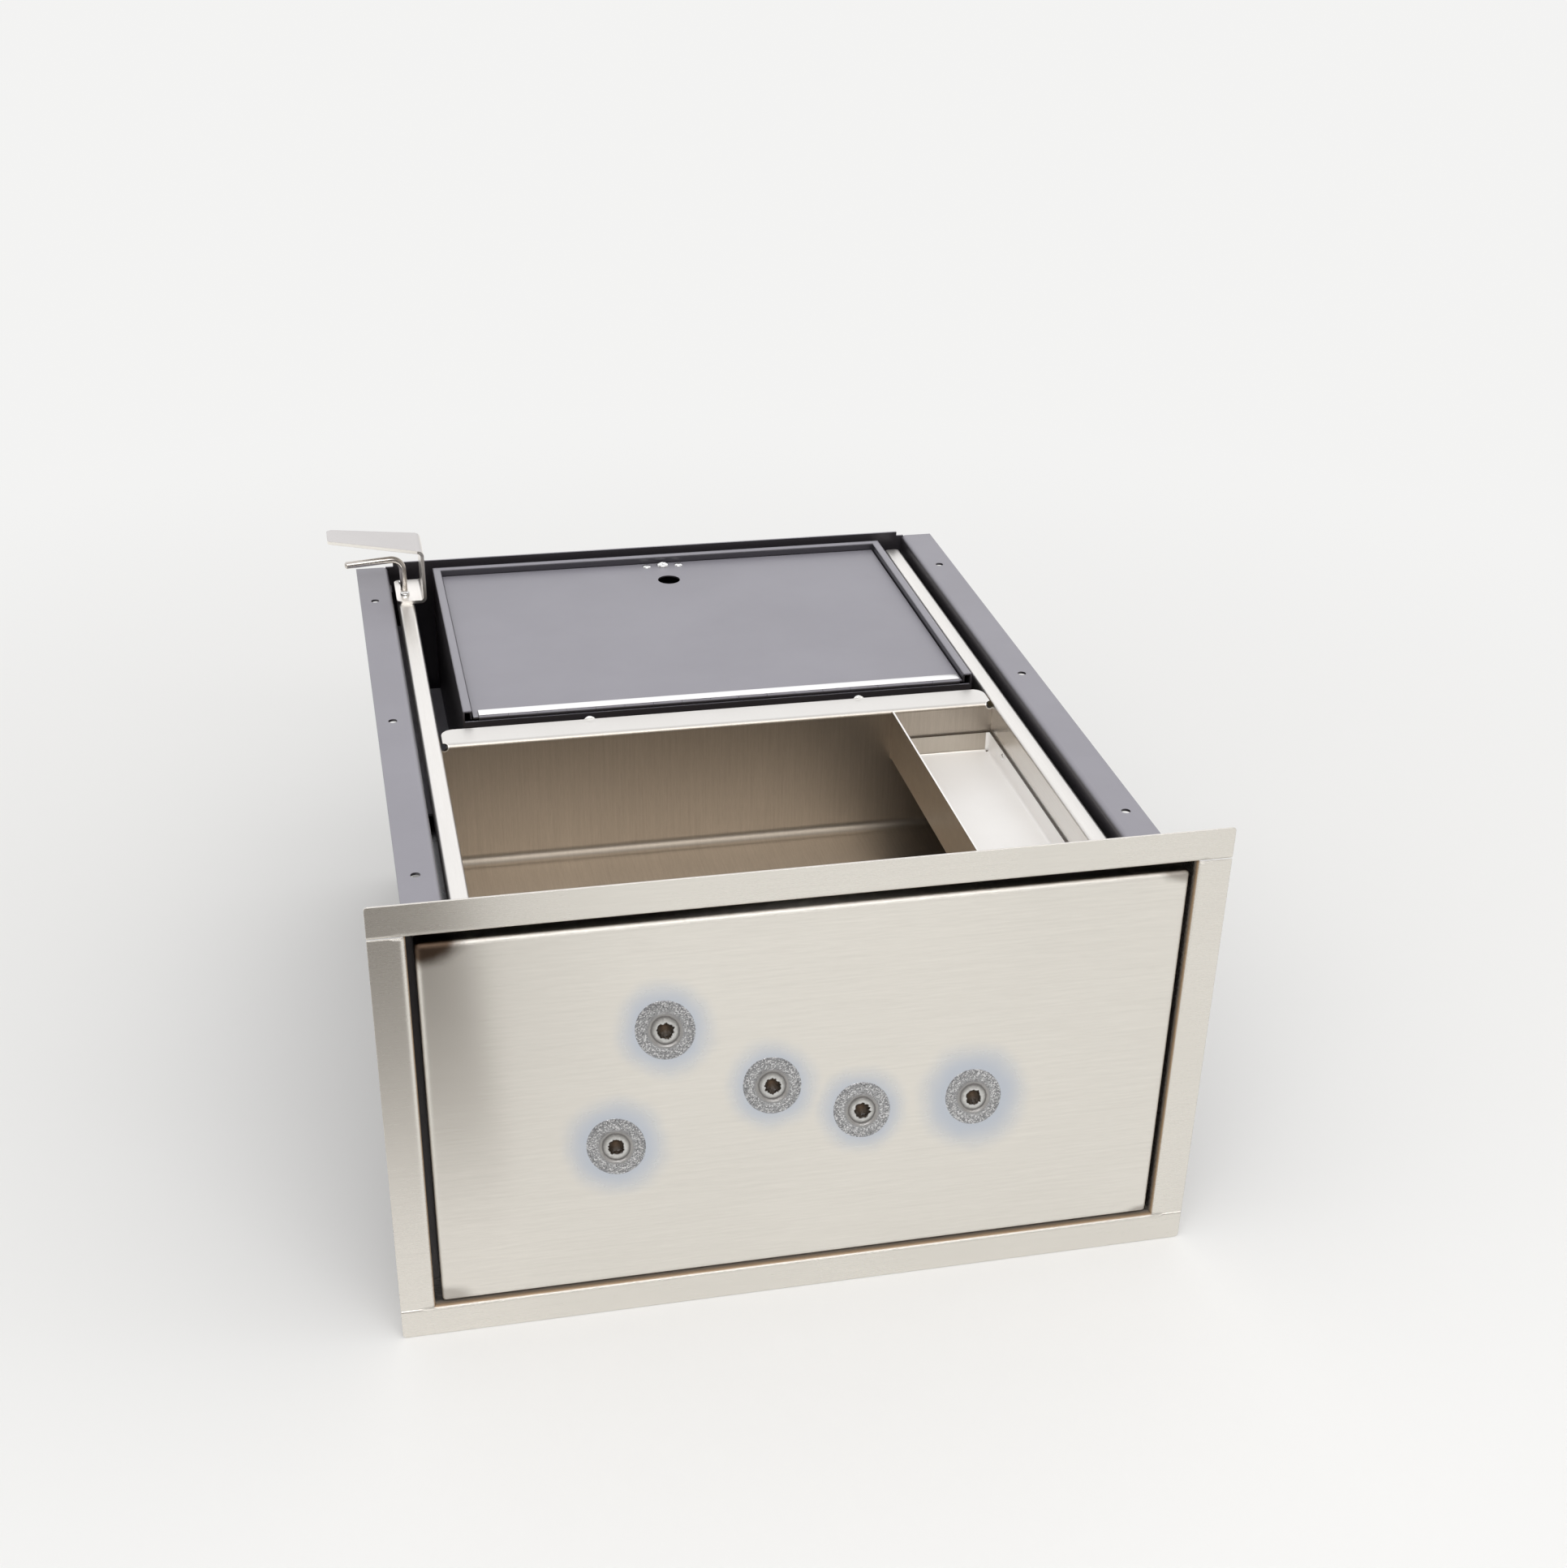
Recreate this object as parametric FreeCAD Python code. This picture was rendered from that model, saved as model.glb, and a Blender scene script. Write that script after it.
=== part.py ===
import FreeCAD, Part
import math
import os

# Bank teller deposit drawer: a stainless deal drawer with an armoured front, sliding in a
# powder coated cabinet that hangs under a counter and fills an opening in the wall.
# Millimetres.  X runs across the drawer, Y from the customer's side to the teller's side,
# Z up.  While building, Y is measured from the front plane of the face frame; every shape
# moves half the depth forward when it is written, so the origin is at the middle of the base.

# ---- driving dimensions: face frame -------------------------------------------------------
FRAME_W = 609.6            # outside width of the face frame
FRAME_H = 369.8            # outside height of the face frame
STRIP_W = 25.4             # visible width of each frame strip
FRAME_T = 1.5              # frame sheet
FRAME_BEND = 1.5           # inside radius of the frame's bends
FRAME_CORNER = 2.5         # rounding of the outer corners
FRAME_JOINT = 0.2          # hairline where two strips butt
RETURN_DEPTH = 35.0        # how far the strips return into the wall
COLLAR_T = 1.5             # plate that joins the frame to the cabinet's mouth

# ---- driving dimensions: cabinet ----------------------------------------------------------
DEPTH = 698.5              # front plane to the back of the cabinet
MOUTH_STEP = 29.4          # frame's opening to the cabinet's mouth, each side
CAB_T = 2.0                # cabinet sheet
CAB_BEND = 2.5             # inside radius of the cabinet's bends
FLANGE_DROP = 14.2         # mounting flanges below the top of the frame's opening
FLANGE_GAP = 0.2           # flange tip to the frame's opening
HOLE_D = 7.1               # counter bolt holes
HOLE_EDGE = 13.2           # hole centre to flange tip
HOLE_PITCH = 254.0         # between counter bolt holes along a flange
HOLE_REAR = 82.5           # last hole to the back of the cabinet
BACK_RISE = 3.8            # back wall above the flanges
BACK_NOTCH = 5.0           # back wall's raised part stops this far short of the side walls
BACK_TAB_Z = 28.8          # back wall's side tabs start this far above the bottom's underside
TAB = 18.0                 # riveted tabs of the bottom, shelf and back
TAB_RIVET = 0.6            # share of a tab's height at which its rivets sit

# ---- driving dimensions: drawer front -----------------------------------------------------
FRONT_GAP_SIDE = 5.4       # opening to drawer front, each side
FRONT_GAP_TOP = 6.9
FRONT_GAP_BOTTOM = 4.6
SKIN_T = 1.5               # stainless skin
SKIN_BEND = 3.0            # outside radius of the skin's edges
ARMOUR_T = 9.5             # armour steel
BOARD_T = 16.5             # ballistic fibre board
COVER_T = 1.5              # inner cover sheet
CORE_FIT = 0.5             # core plates inside the skin
BUMPER_FIT = 0.3           # bumper to the closed drawer front

# ---- driving dimensions: drawer body ------------------------------------------------------
SLIDE_SPACE = 17.6         # cabinet wall to drawer side, filled by the slide
DRAWER_T = 2.0             # drawer side sheet
DRAWER_LIFT = 8.6          # drawer underside above the frame's opening
DRAWER_REAR_GAP = 12.0     # drawer sides to the cabinet back
DRAWER_TRAVEL = 320.0      # full travel towards the customer
RAIL_DROP = 9.2            # rail tops below the mounting flanges
RAIL_W = 15.0              # rail width, sheet edge to sheet edge
RAIL_LIP = 10.0            # depth of the rail's down-turned lip
RAIL_BEND = 1.0            # inside radius of the rail's bends
RAIL_CORNER = 6.0          # rounding of the rail's rear corner
COLLAR_CLEAR = 5.0         # rails to the collar above them
FRONT_TAB = 25.4           # tab that bolts the drawer side to the front

# ---- driving dimensions: deal tray, coin tray, baffle -------------------------------------
TRAY_T = 1.5
TRAY_LEN = 296.5           # clear length of the deal tray
TRAY_DEPTH = 110.0         # rail top to tray floor
TRAY_FLOOR_BEND = 8.0      # inside radius at the floor
TRAY_FLANGE_BEND = 2.5     # inside radius at the top flange
TRAY_FLANGE_TRIM = 1.4     # flange is narrower than the tray, each side
TRAY_FLANGE_CORNER = 10.0
RELIEF_D = 5.4             # relief holes at the ends of the flange bend
BAFFLE_T = 26.7            # ballistic board under the flange
BAFFLE_TRIM = 5.4          # board is narrower than the drawer, each side
COIN_W = 87.7              # coin tray, outside width
COIN_T = 1.5
COIN_DEPTH = 44.0          # rail top to coin tray floor
COIN_UPSTAND = 18.0        # coin tray's low flanges above its floor
COIN_RIVET = 0.7           # share of the low flange's height at which its rivets sit
COIN_WALL_DROP = 1.0       # coin tray's tall wall below the rail top
COIN_BEND = 2.5

# ---- driving dimensions: cash box and lid -------------------------------------------------
BOX_GAP_LEFT = 21.1        # drawer side to box
BOX_GAP_RIGHT = 6.4
BOX_GAP_FRONT = 12.4       # baffle to box
BOX_REAR_GAP = 8.7         # box to cabinet back
BOX_T = 1.5
BOX_BEND = 1.5             # inside radius
BOX_H = 122.2
RIM_RISE = 9.2             # rim above the rail tops
RIM_W = 7.5
RIM_LIP = 8.2              # depth of the rim's down-turned inner lip
RIM_ROUND = 1.3
LID_GAP = 1.0
LID_DROP = 6.2             # lid surface below the rim
LID_T = 1.5
LID_SKIRT = 8.0
LID_FRONT = 3.7            # box front to the lid's edge behind the hinge barrel
HINGE_START = 4.5          # end of the lid to end of the hinge
HINGE_END = 2.1
HINGE_R = 2.0              # hinge barrel
HINGE_PIN_R = 1.0
HINGE_FIT = 0.05           # pin clearance, radial
HINGE_AIR = 0.5            # barrel to the box's front wall
HINGE_LEAF_T = 1.2
HINGE_LEAF_W = 9.2
HINGE_LEAF_H = 20.0
KNUCKLE = 25.0
KNUCKLE_GAP = 0.2
FINGER_HOLE_D = 20.6
FINGER_HOLE_X = 0.2        # from the lid's middle
FINGER_HOLE_REAR = 42.5    # from the lid's rear edge
CATCH_W = 38.0
CATCH_LEN = 12.0
CATCH_T = 1.5
CATCH_REAR = 7.3           # catch fasteners to the lid's rear edge
CATCH_PITCH = 15.3
CATCH_AIR = 0.3            # magnet to catch plate
CATCH_HEAD_R = 5.4         # middle fastener of the catch
CATCH_HEAD_H = 2.7
MAGNET_H = 12.0
TIP_ROOM = 2.5             # pockets in the magnet housing for the fasteners' tips

# ---- driving dimensions: handle and latch -------------------------------------------------
HANDLE_T = 3.0
HANDLE_BEND = 2.5
HANDLE_BASE_W = 27.0       # across the rail
HANDLE_BASE_OUT = 0.6      # base plate beyond the rail's outer edge
HANDLE_BASE_LEN = 52.0
HANDLE_RISE = 46.0         # base plate to the top of the blade
HANDLE_REACH = 84.3        # riser to blade tip
HANDLE_ROOT = 47.3         # blade width at the riser
HANDLE_TIP = 29.9          # blade width at the tip
HANDLE_SWEEP = 19.7        # tip lies this much further back than the base
HANDLE_REAR = 6.5          # base plate to the end of the rail
HANDLE_CORNER = 5.0
HANDLE_SCREW_PITCH = 29.2
HANDLE_SCREW_BACK = 10.5   # first screw in front of the base plate's middle
HANDLE_SHOULDER = 1.0      # riser's rear edge in front of the base plate's at the top
ROD_D = 6.35
ROD_FIT = 0.05             # rod in its guide holes, radial
ROD_REACH = 51.8           # grip length across the drawer
ROD_SWEEP = 10.1           # grip end lies this much further forward
ROD_GRIP_Z = 33.3          # grip axis above the rail top
ROD_BEND = 11.0            # bend radius on the rod's axis
ROD_FROM_REAR = 29.2       # rod to the end of the rail
ROD_CHAMFER = 1.2
PIN_AIR = 0.3              # pin tip above the keeper when the latch is lifted clear
KEEPER_T = 2.0
KEEPER_BEND = 1.5          # inside radius
KEEPER_H = 22.0
KEEPER_GAP = 2.0           # keeper to drawer side
KEEPER_Z = 38.0            # keeper's top face below the rail top
KEEPER_REAR = 30.0         # keeper to the cabinet back wall's face
KEEPER_HOLE_FIT = 0.4
COLLAR_R = 5.0
COLLAR_H = 4.0
COLLAR_Z = 23.0            # collar's top below the rail top
SPRING_WIRE = 1.2
SPRING_TURNS = 5.5
SPRING_FIT = 0.12          # spring bore to rod, radial

# ---- driving dimensions: telescopic slides ------------------------------------------------
SLIDE_LEN = 560.0
SLIDE_FRONT = 5.0          # behind the collar
SLIDE_DROP = 76.0          # slide axis below the rail top
SLIDE_H = 53.0
SLIDE_T = 1.8
SLIDE_MID_T = 1.5
SLIDE_HEAD_ROOM = 1.8      # outer web to middle web
SLIDE_LIP_OUT = 2.2        # outer member's lips stop this far from the drawer side
SLIDE_LIP_MID = 4.0
SLIDE_LIP_IN = 2.5         # inner member's lips stop this far from the middle web
BALL_D = 5.4
BALL_FIT = 0.05
BALL_PITCH = 35.0
BALL_COUNT = 9
CAGE_T = 1.0
CAGE_W = 5.0
CAGE_INSET = 20.0          # ball rows from the ends of the slide

# ---- driving dimensions: fasteners --------------------------------------------------------
RIVET_R = 2.0
RIVET_HEAD_R = 3.6
RIVET_HEAD_H = 1.5
SCREW_R = 2.4
SCREW_HEAD_R = 4.5
SCREW_HEAD_H = 1.2
BOLT_R = 4.0
BOLT_HEAD_R = 7.0
BOLT_HEAD_H = 4.0
NUT_AF = 8.0
NUT_H = 4.0
HOLE_FIT = 0.1             # fastener in its hole, radial
BAFFLE_BOLT_R = 2.5
BAFFLE_HEAD_R = 5.2
BAFFLE_HEAD_H = 4.2
BAFFLE_BOLT_LEN = 18.0
BAFFLE_BOLT_X = (-107.0, 121.0)
BAFFLE_BOLT_TOP = 4.5      # below the rail top
PAN_R = 2.0
PAN_HEAD_R = 4.2
PAN_HEAD_H = 2.6
PAN_NUT_AF = 7.0
PAN_NUT_H = 3.2
BUMPER_W = 14.0
BUMPER_H = 20.0

# ---- bullet strikes on the drawer front: across, up from the front's lower edge -----------
STRIKES = ((-106.2, 219.2), (-28.7, 161.5), (39.1, 130.5), (124.2, 130.8), (-142.7, 123.2))
STRIKE_MOUTH_R = 9.5       # torn lip at the skin's face
STRIKE_HOLE_R = 5.6        # hole at the back of the skin
STRIKE_PIT = 3.5           # depth of the pit in the armour

V = FreeCAD.Vector
X_AXIS = V(1, 0, 0)
Y_AXIS = V(0, 1, 0)
Z_AXIS = V(0, 0, 1)

# ---- faces that several pieces share ------------------------------------------------------
open_half = FRAME_W / 2 - STRIP_W
open_z0 = STRIP_W
open_z1 = FRAME_H - STRIP_W
collar_y0 = RETURN_DEPTH - COLLAR_T
cab_half = open_half - MOUTH_STEP
flange_z = open_z1 - FLANGE_DROP
back_face = DEPTH - CAB_T
flange_tip = open_half - FLANGE_GAP
hole_x = flange_tip - HOLE_EDGE
hole_ys = [DEPTH - HOLE_REAR - n * HOLE_PITCH for n in range(3)]

front_half = open_half - FRONT_GAP_SIDE
front_z0 = open_z0 + FRONT_GAP_BOTTOM
front_z1 = open_z1 - FRONT_GAP_TOP
armour_y0 = SKIN_T
board_y0 = armour_y0 + ARMOUR_T
cover_y0 = board_y0 + BOARD_T
front_back = cover_y0 + COVER_T

drawer_half = cab_half - SLIDE_SPACE
tray_half = drawer_half - DRAWER_T
drawer_z0 = open_z0 + DRAWER_LIFT
rail_z = flange_z - RAIL_DROP
drawer_rear = back_face - DRAWER_REAR_GAP
tab_y0 = front_back
tray_y0 = tab_y0 + DRAWER_T
wall_y = tray_y0 + TRAY_T + TRAY_LEN
baffle_y0 = wall_y + TRAY_T
baffle_y1 = baffle_y0 + BAFFLE_T
floor_z = rail_z - TRAY_DEPTH
coin_z = rail_z - COIN_DEPTH

box_x0 = -tray_half + BOX_GAP_LEFT
box_x1 = tray_half - BOX_GAP_RIGHT
box_y0 = baffle_y1 + BOX_GAP_FRONT
box_y1 = back_face - BOX_REAR_GAP
rim_z = rail_z + RIM_RISE
box_z0 = rim_z - BOX_H
shelf_z = box_z0 - DRAWER_T
lid_z = rim_z - LID_DROP
lid_x0 = box_x0 + RIM_W + LID_GAP
lid_x1 = box_x1 - RIM_W - LID_GAP
lid_y1 = box_y1 - RIM_W - LID_GAP
hinge_y = box_y0 + HINGE_R - 0.5 * HINGE_LEAF_T
hinge_z = lid_z - HINGE_PIN_R
hinge_x0 = lid_x0 + HINGE_START
hinge_x1 = lid_x1 - HINGE_END
catch_x = 0.5 * (lid_x0 + lid_x1) + FINGER_HOLE_X
catch_y = lid_y1 - CATCH_REAR
catch_z = lid_z - LID_T - CATCH_T

slide_y0 = RETURN_DEPTH + SLIDE_FRONT
slide_y1 = slide_y0 + SLIDE_LEN
slide_z = rail_z - SLIDE_DROP
screw_ys = [slide_y0 + SLIDE_LEN * share for share in (0.06, 0.5, 0.94)]

rail_x1 = tray_half + RAIL_W
base_x0 = -rail_x1 - HANDLE_BASE_OUT
riser_x = base_x0 + HANDLE_BASE_W
base_y1 = drawer_rear - HANDLE_REAR
base_y0 = base_y1 - HANDLE_BASE_LEN
rod_x = -0.5 * (drawer_half + rail_x1 - DRAWER_T)
rod_y = drawer_rear - ROD_FROM_REAR
keeper_z = rail_z - KEEPER_Z
pin_z = keeper_z + PIN_AIR
handle_screw_y0 = base_y0 + 0.5 * HANDLE_BASE_LEN - HANDLE_SCREW_BACK
handle_screws = [(rod_x, handle_screw_y0 + n * HANDLE_SCREW_PITCH) for n in (0, 1)]


# ---- shape helpers ------------------------------------------------------------------------
def block(x0, x1, y0, y1, z0, z1):
    """Rectangular solid between two corners."""
    return Part.makeBox(x1 - x0, y1 - y0, z1 - z0, V(x0, y0, z0))


def rod(radius, start, direction, length):
    """Plain cylinder."""
    return Part.makeCylinder(radius, length, start, direction)


def bent_sheet(path, thickness, radii, plane, start, end):
    """Sheet metal whose one face follows PATH, with the metal on the path's left.

    RADII are the inside radii of the bends.  PLANE is the plane of the path: the sheet is
    extruded along the third axis from START to END.
    """
    lift = {"XZ": lambda u, v: V(u, start, v),
            "YZ": lambda u, v: V(start, u, v),
            "XY": lambda u, v: V(u, v, start)}[plane]
    along = {"XZ": Y_AXIS, "YZ": X_AXIS, "XY": Z_AXIS}[plane]
    points = [V(u, v, 0) for u, v in path]
    dirs = [(b - a).normalize() for a, b in zip(points, points[1:])]

    def side(offset):
        """Edges of the outline at OFFSET to the left of the path, from start to end."""
        edges = []
        here = points[0] + V(-dirs[0].y, dirs[0].x, 0) * offset
        for n, inner in enumerate(radii):
            d0, d1 = dirs[n], dirs[n + 1]
            turn = 1 if d0.x * d1.y - d0.y * d1.x > 0 else -1
            path_r = inner + (thickness if turn > 0 else 0.0)
            reach = path_r * math.tan(0.5 * d0.getAngle(d1))
            n0 = V(-d0.y, d0.x, 0)
            n1 = V(-d1.y, d1.x, 0)
            corner = points[n + 1]
            centre = corner - d0 * reach + n0 * (turn * path_r)
            a = corner - d0 * reach + n0 * offset
            b = corner + d1 * reach + n1 * offset
            middle = centre - (n0 + n1).normalize() * (turn * (path_r - turn * offset))
            edges.append(Part.LineSegment(lift(here.x, here.y), lift(a.x, a.y)).toShape())
            edges.append(Part.Arc(lift(a.x, a.y), lift(middle.x, middle.y), lift(b.x, b.y)).toShape())
            here = b
        last = points[-1] + V(-dirs[-1].y, dirs[-1].x, 0) * offset
        edges.append(Part.LineSegment(lift(here.x, here.y), lift(last.x, last.y)).toShape())
        return edges

    near = side(0.0)
    far = side(thickness)
    caps = [Part.LineSegment(near[k].Vertexes[v].Point, far[k].Vertexes[v].Point).toShape()
            for k, v in ((0, 0), (-1, 1))]
    outline = Part.Wire(Part.__sortEdges__(near + far + caps))
    return Part.Face(outline).extrude(along * (end - start))


def round_edges(shape, radius, wanted):
    """Fillet the edges whose middle point satisfies WANTED."""
    edges = [e for e in shape.Edges
             if wanted(e.valueAt(0.5 * (e.FirstParameter + e.LastParameter)), e)]
    return shape.makeFillet(radius, edges) if edges else shape


def button(seat, direction, head_r, head_h, shank_r, shank_len):
    """Low domed fastener: the head rises from SEAT along DIRECTION, the shank goes the other way."""
    head = rod(head_r, seat, direction, head_h)
    top = seat + direction * head_h
    head = round_edges(head, 0.7 * head_h,
                       lambda p, e: (p - top).dot(direction) > -1e-6 and e.Curve.TypeId == "Part::GeomCircle")
    return head.fuse(rod(shank_r, seat, direction * -1, shank_len)).removeSplitter()


def hex_nut(seat, direction, across, height, bore_r):
    """Hexagon nut standing on SEAT."""
    nut = Part.makeCylinder(across / math.sqrt(3), height, seat, direction)
    frame = FreeCAD.Rotation(Z_AXIS, direction)
    corners = [seat + frame.multVec(V(math.cos(math.radians(a)), math.sin(math.radians(a)), 0)
                                    * (across / math.sqrt(3))) for a in range(30, 391, 60)]
    prism = Part.Face(Part.makePolygon(corners)).extrude(direction * height)
    return nut.common(prism).cut(rod(bore_r, seat, direction, height))


def drill(shape, spots, direction, radius, reach):
    """Through holes centred on SPOTS, REACH long each way."""
    holes = [rod(radius, spot - direction * reach, direction, 2 * reach) for spot in spots]
    return shape.cut(holes)


def mirrored(shape):
    """The same piece for the other side of the drawer."""
    return shape.mirror(V(0, 0, 0), X_AXIS)


def both_sides(spots):
    """The spots and their mirror images."""
    return spots + [V(-p.x, p.y, p.z) for p in spots]


def shifted(spots, dx):
    """The spots moved sideways."""
    return [p + X_AXIS * dx for p in spots]


def group(shapes):
    """Separate solids of one node."""
    return Part.makeCompound(shapes)


# ---- face frame and cabinet ---------------------------------------------------------------
def frame_strip_level(z_edge, z_opening):
    """Full-width strip with a return along the opening; the path keeps the metal on its left."""
    if z_edge > z_opening:
        path = [(0, z_edge), (0, z_opening), (RETURN_DEPTH, z_opening)]
    else:
        path = [(RETURN_DEPTH, z_opening), (0, z_opening), (0, z_edge)]
    strip = bent_sheet(path, FRAME_T, [FRAME_BEND], "YZ", -FRAME_W / 2, FRAME_W / 2)
    behind = FRAME_T + FRAME_BEND
    low, high = sorted((z_edge, z_opening))
    for s in (-1, 1):
        x0, x1 = sorted((s * (open_half + FRAME_T), s * (FRAME_W / 2 + 1)))
        strip = strip.cut(block(x0, x1, FRAME_T, RETURN_DEPTH + 1, low - 1, high + 1))
    return round_edges(strip, FRAME_CORNER,
                       lambda p, e: abs(abs(p.x) - FRAME_W / 2) < 1e-3 and abs(p.z - z_edge) < 1e-3
                       and p.y < behind and e.Length < 2 * FRAME_T)


def frame_strip_upright():
    """Right-hand strip between the top and bottom strips."""
    path = [(open_half, RETURN_DEPTH), (open_half, 0), (FRAME_W / 2, 0)]
    return bent_sheet(path, FRAME_T, [FRAME_BEND], "XY", open_z0 + FRAME_JOINT, open_z1 - FRAME_JOINT)


def mouth_collar():
    """Plate that closes the frame's opening down to the cabinet's mouth."""
    plate = block(-open_half, open_half, collar_y0, RETURN_DEPTH, open_z0, open_z1)
    mouth = block(-cab_half, cab_half, collar_y0 - 1, RETURN_DEPTH + 1, open_z0 - 1, rail_z + COLLAR_CLEAR)
    return plate.cut(mouth)


rivet_ys = [DEPTH * share for share in (0.15, 0.4, 0.65, 0.9)]
tab_rise = TAB_RIVET * TAB
bottom_tab_rivets = [V(cab_half, y, open_z0 + tab_rise) for y in rivet_ys]
back_tab_rivets = [V(cab_half, back_face - tab_rise, open_z0 + share * (flange_z - open_z0))
                   for share in (0.25, 0.5, 0.8)]
keeper_rivets = [V(-cab_half, DEPTH * share, keeper_z + TAB_RIVET * KEEPER_H) for share in (0.55, 0.75, 0.9)]
slide_screws = [V(cab_half, y, slide_z) for y in screw_ys]
flange_holes = [V(hole_x, y, flange_z) for y in hole_ys]


def cabinet_side():
    """Right wall: an upright sheet whose top turns outwards as the mounting flange."""
    path = [(flange_tip, flange_z), (cab_half, flange_z), (cab_half, open_z0)]
    wall = bent_sheet(path, CAB_T, [CAB_BEND], "XZ", RETURN_DEPTH, back_face)
    wall = drill(wall, flange_holes, Z_AXIS, HOLE_D / 2, 2 * CAB_T)
    wall = drill(wall, bottom_tab_rivets + back_tab_rivets, X_AXIS, RIVET_R + HOLE_FIT, 2 * CAB_T)
    return drill(wall, slide_screws, X_AXIS, SCREW_R + HOLE_FIT, 2 * CAB_T)


def cabinet_bottom():
    """Bottom sheet with turned-up sides, its front edge resting on the frame's return."""
    path = [(-cab_half, open_z0 + TAB), (-cab_half, open_z0), (cab_half, open_z0), (cab_half, open_z0 + TAB)]
    pan = bent_sheet(path, CAB_T, [CAB_BEND] * 2, "XZ", RETURN_DEPTH, back_face)
    step = block(-cab_half + CAB_T + CAB_BEND, cab_half - CAB_T - CAB_BEND,
                 0.3 * RETURN_DEPTH, RETURN_DEPTH, open_z0, open_z0 + CAB_T)
    pan = pan.fuse(step).removeSplitter()
    return drill(pan, both_sides(bottom_tab_rivets), X_AXIS, RIVET_R + HOLE_FIT, 2 * CAB_T)


def cabinet_back():
    """Back sheet over the ends of the side walls, with tabs turned forward inside them."""
    plate = block(-cab_half - CAB_T, cab_half + CAB_T, back_face, DEPTH, open_z0, flange_z + BACK_RISE)
    for s in (-1, 1):
        x0, x1 = sorted((s * (cab_half - BACK_NOTCH), s * (cab_half + CAB_T + 1)))
        plate = plate.cut(block(x0, x1, back_face - 1, DEPTH + 1, flange_z, flange_z + BACK_RISE + 1))
        x0, x1 = sorted((s * (cab_half - CAB_T), s * cab_half))
        plate = plate.fuse(block(x0, x1, back_face - TAB, back_face, open_z0 + BACK_TAB_Z, flange_z - TAB))
    return drill(plate.removeSplitter(), both_sides(back_tab_rivets), X_AXIS, RIVET_R + HOLE_FIT, 2 * CAB_T)


def keeper():
    """Angle on the left wall whose shelf holds the latch pin at either end of the travel."""
    path = [(-cab_half, keeper_z + KEEPER_H), (-cab_half, keeper_z - KEEPER_T),
            (-drawer_half - KEEPER_GAP, keeper_z - KEEPER_T)]
    length = DRAWER_TRAVEL + 2 * KEEPER_REAR
    y1 = back_face - KEEPER_REAR
    angle = bent_sheet(path, KEEPER_T, [KEEPER_BEND], "XZ", y1 - length, y1)
    pins = [V(rod_x, rod_y - shift, keeper_z) for shift in (0.0, DRAWER_TRAVEL)]
    angle = drill(angle, pins, Z_AXIS, ROD_D / 2 + KEEPER_HOLE_FIT, 2 * KEEPER_T)
    return drill(angle, keeper_rivets, X_AXIS, RIVET_R + HOLE_FIT, 2 * KEEPER_T)


def bumpers():
    """Four rubber pads on the collar that the drawer front closes against."""
    pads = []
    for s in (-1, 1):
        for z in (front_z0 + 2 * BUMPER_H, front_z1 - 2 * BUMPER_H):
            x = s * 0.5 * (cab_half + front_half - SKIN_T)
            pads.append(block(x - BUMPER_W / 2, x + BUMPER_W / 2, front_back + BUMPER_FIT, collar_y0,
                              z - BUMPER_H / 2, z + BUMPER_H / 2))
    return group(pads)


# ---- drawer front -------------------------------------------------------------------------
strike_spots = [V(x, 0, front_z0 + z) for x, z in STRIKES]
tab_x = tray_half - 0.5 * FRONT_TAB
under_tray = floor_z - TRAY_T - drawer_z0
front_bolt_spots = [V(s * tab_x, tab_y0 + DRAWER_T, drawer_z0 + share * under_tray)
                    for s in (-1, 1) for share in (0.25, 0.55, 0.85)]
front_bolt_len = tab_y0 + DRAWER_T - armour_y0 - 0.25 * ARMOUR_T


def front_skin():
    """Stainless box skin: face and four returned edges, torn open at the strikes."""
    skin = block(-front_half, front_half, 0, front_back, front_z0, front_z1)
    skin = round_edges(skin, SKIN_BEND, lambda p, e: p.y < front_back - 1e-3)
    inside = block(-front_half + SKIN_T, front_half - SKIN_T, SKIN_T, front_back + 1,
                   front_z0 + SKIN_T, front_z1 - SKIN_T)
    inside = round_edges(inside, SKIN_BEND - SKIN_T, lambda p, e: p.y < front_back)
    holes = [Part.makeCone(STRIKE_MOUTH_R, STRIKE_HOLE_R, SKIN_T, spot, Y_AXIS) for spot in strike_spots]
    return skin.cut(inside).cut(holes)


def front_plate(y0, thickness):
    """Flat plate that fits inside the skin, with its corners rounded to clear the skin's bends."""
    edge = SKIN_T + CORE_FIT
    plate = block(-front_half + edge, front_half - edge, y0, y0 + thickness, front_z0 + edge, front_z1 - edge)
    return round_edges(plate, SKIN_BEND, lambda p, e: y0 + 1e-3 < p.y < y0 + thickness - 1e-3)


def front_armour():
    """Armour steel with tapped bolt holes and a shallow pit behind each strike."""
    plate = front_plate(armour_y0, ARMOUR_T)
    plate = round_edges(plate, SKIN_BEND - SKIN_T, lambda p, e: p.y < armour_y0 + 1e-3)
    pits = [Part.makeCone(STRIKE_HOLE_R, 0.4 * STRIKE_HOLE_R, STRIKE_PIT, spot + Y_AXIS * armour_y0, Y_AXIS)
            for spot in strike_spots]
    tapped = [rod(BOLT_R + HOLE_FIT / 2, spot, Y_AXIS * -1, front_bolt_len) for spot in front_bolt_spots]
    return plate.cut(pits).cut(tapped)


def front_bolts():
    """Bolts through the drawer sides' tabs, cover and board into the armour."""
    return group([button(spot, Y_AXIS, BOLT_HEAD_R, BOLT_HEAD_H, BOLT_R, front_bolt_len)
                  for spot in front_bolt_spots])


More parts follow.
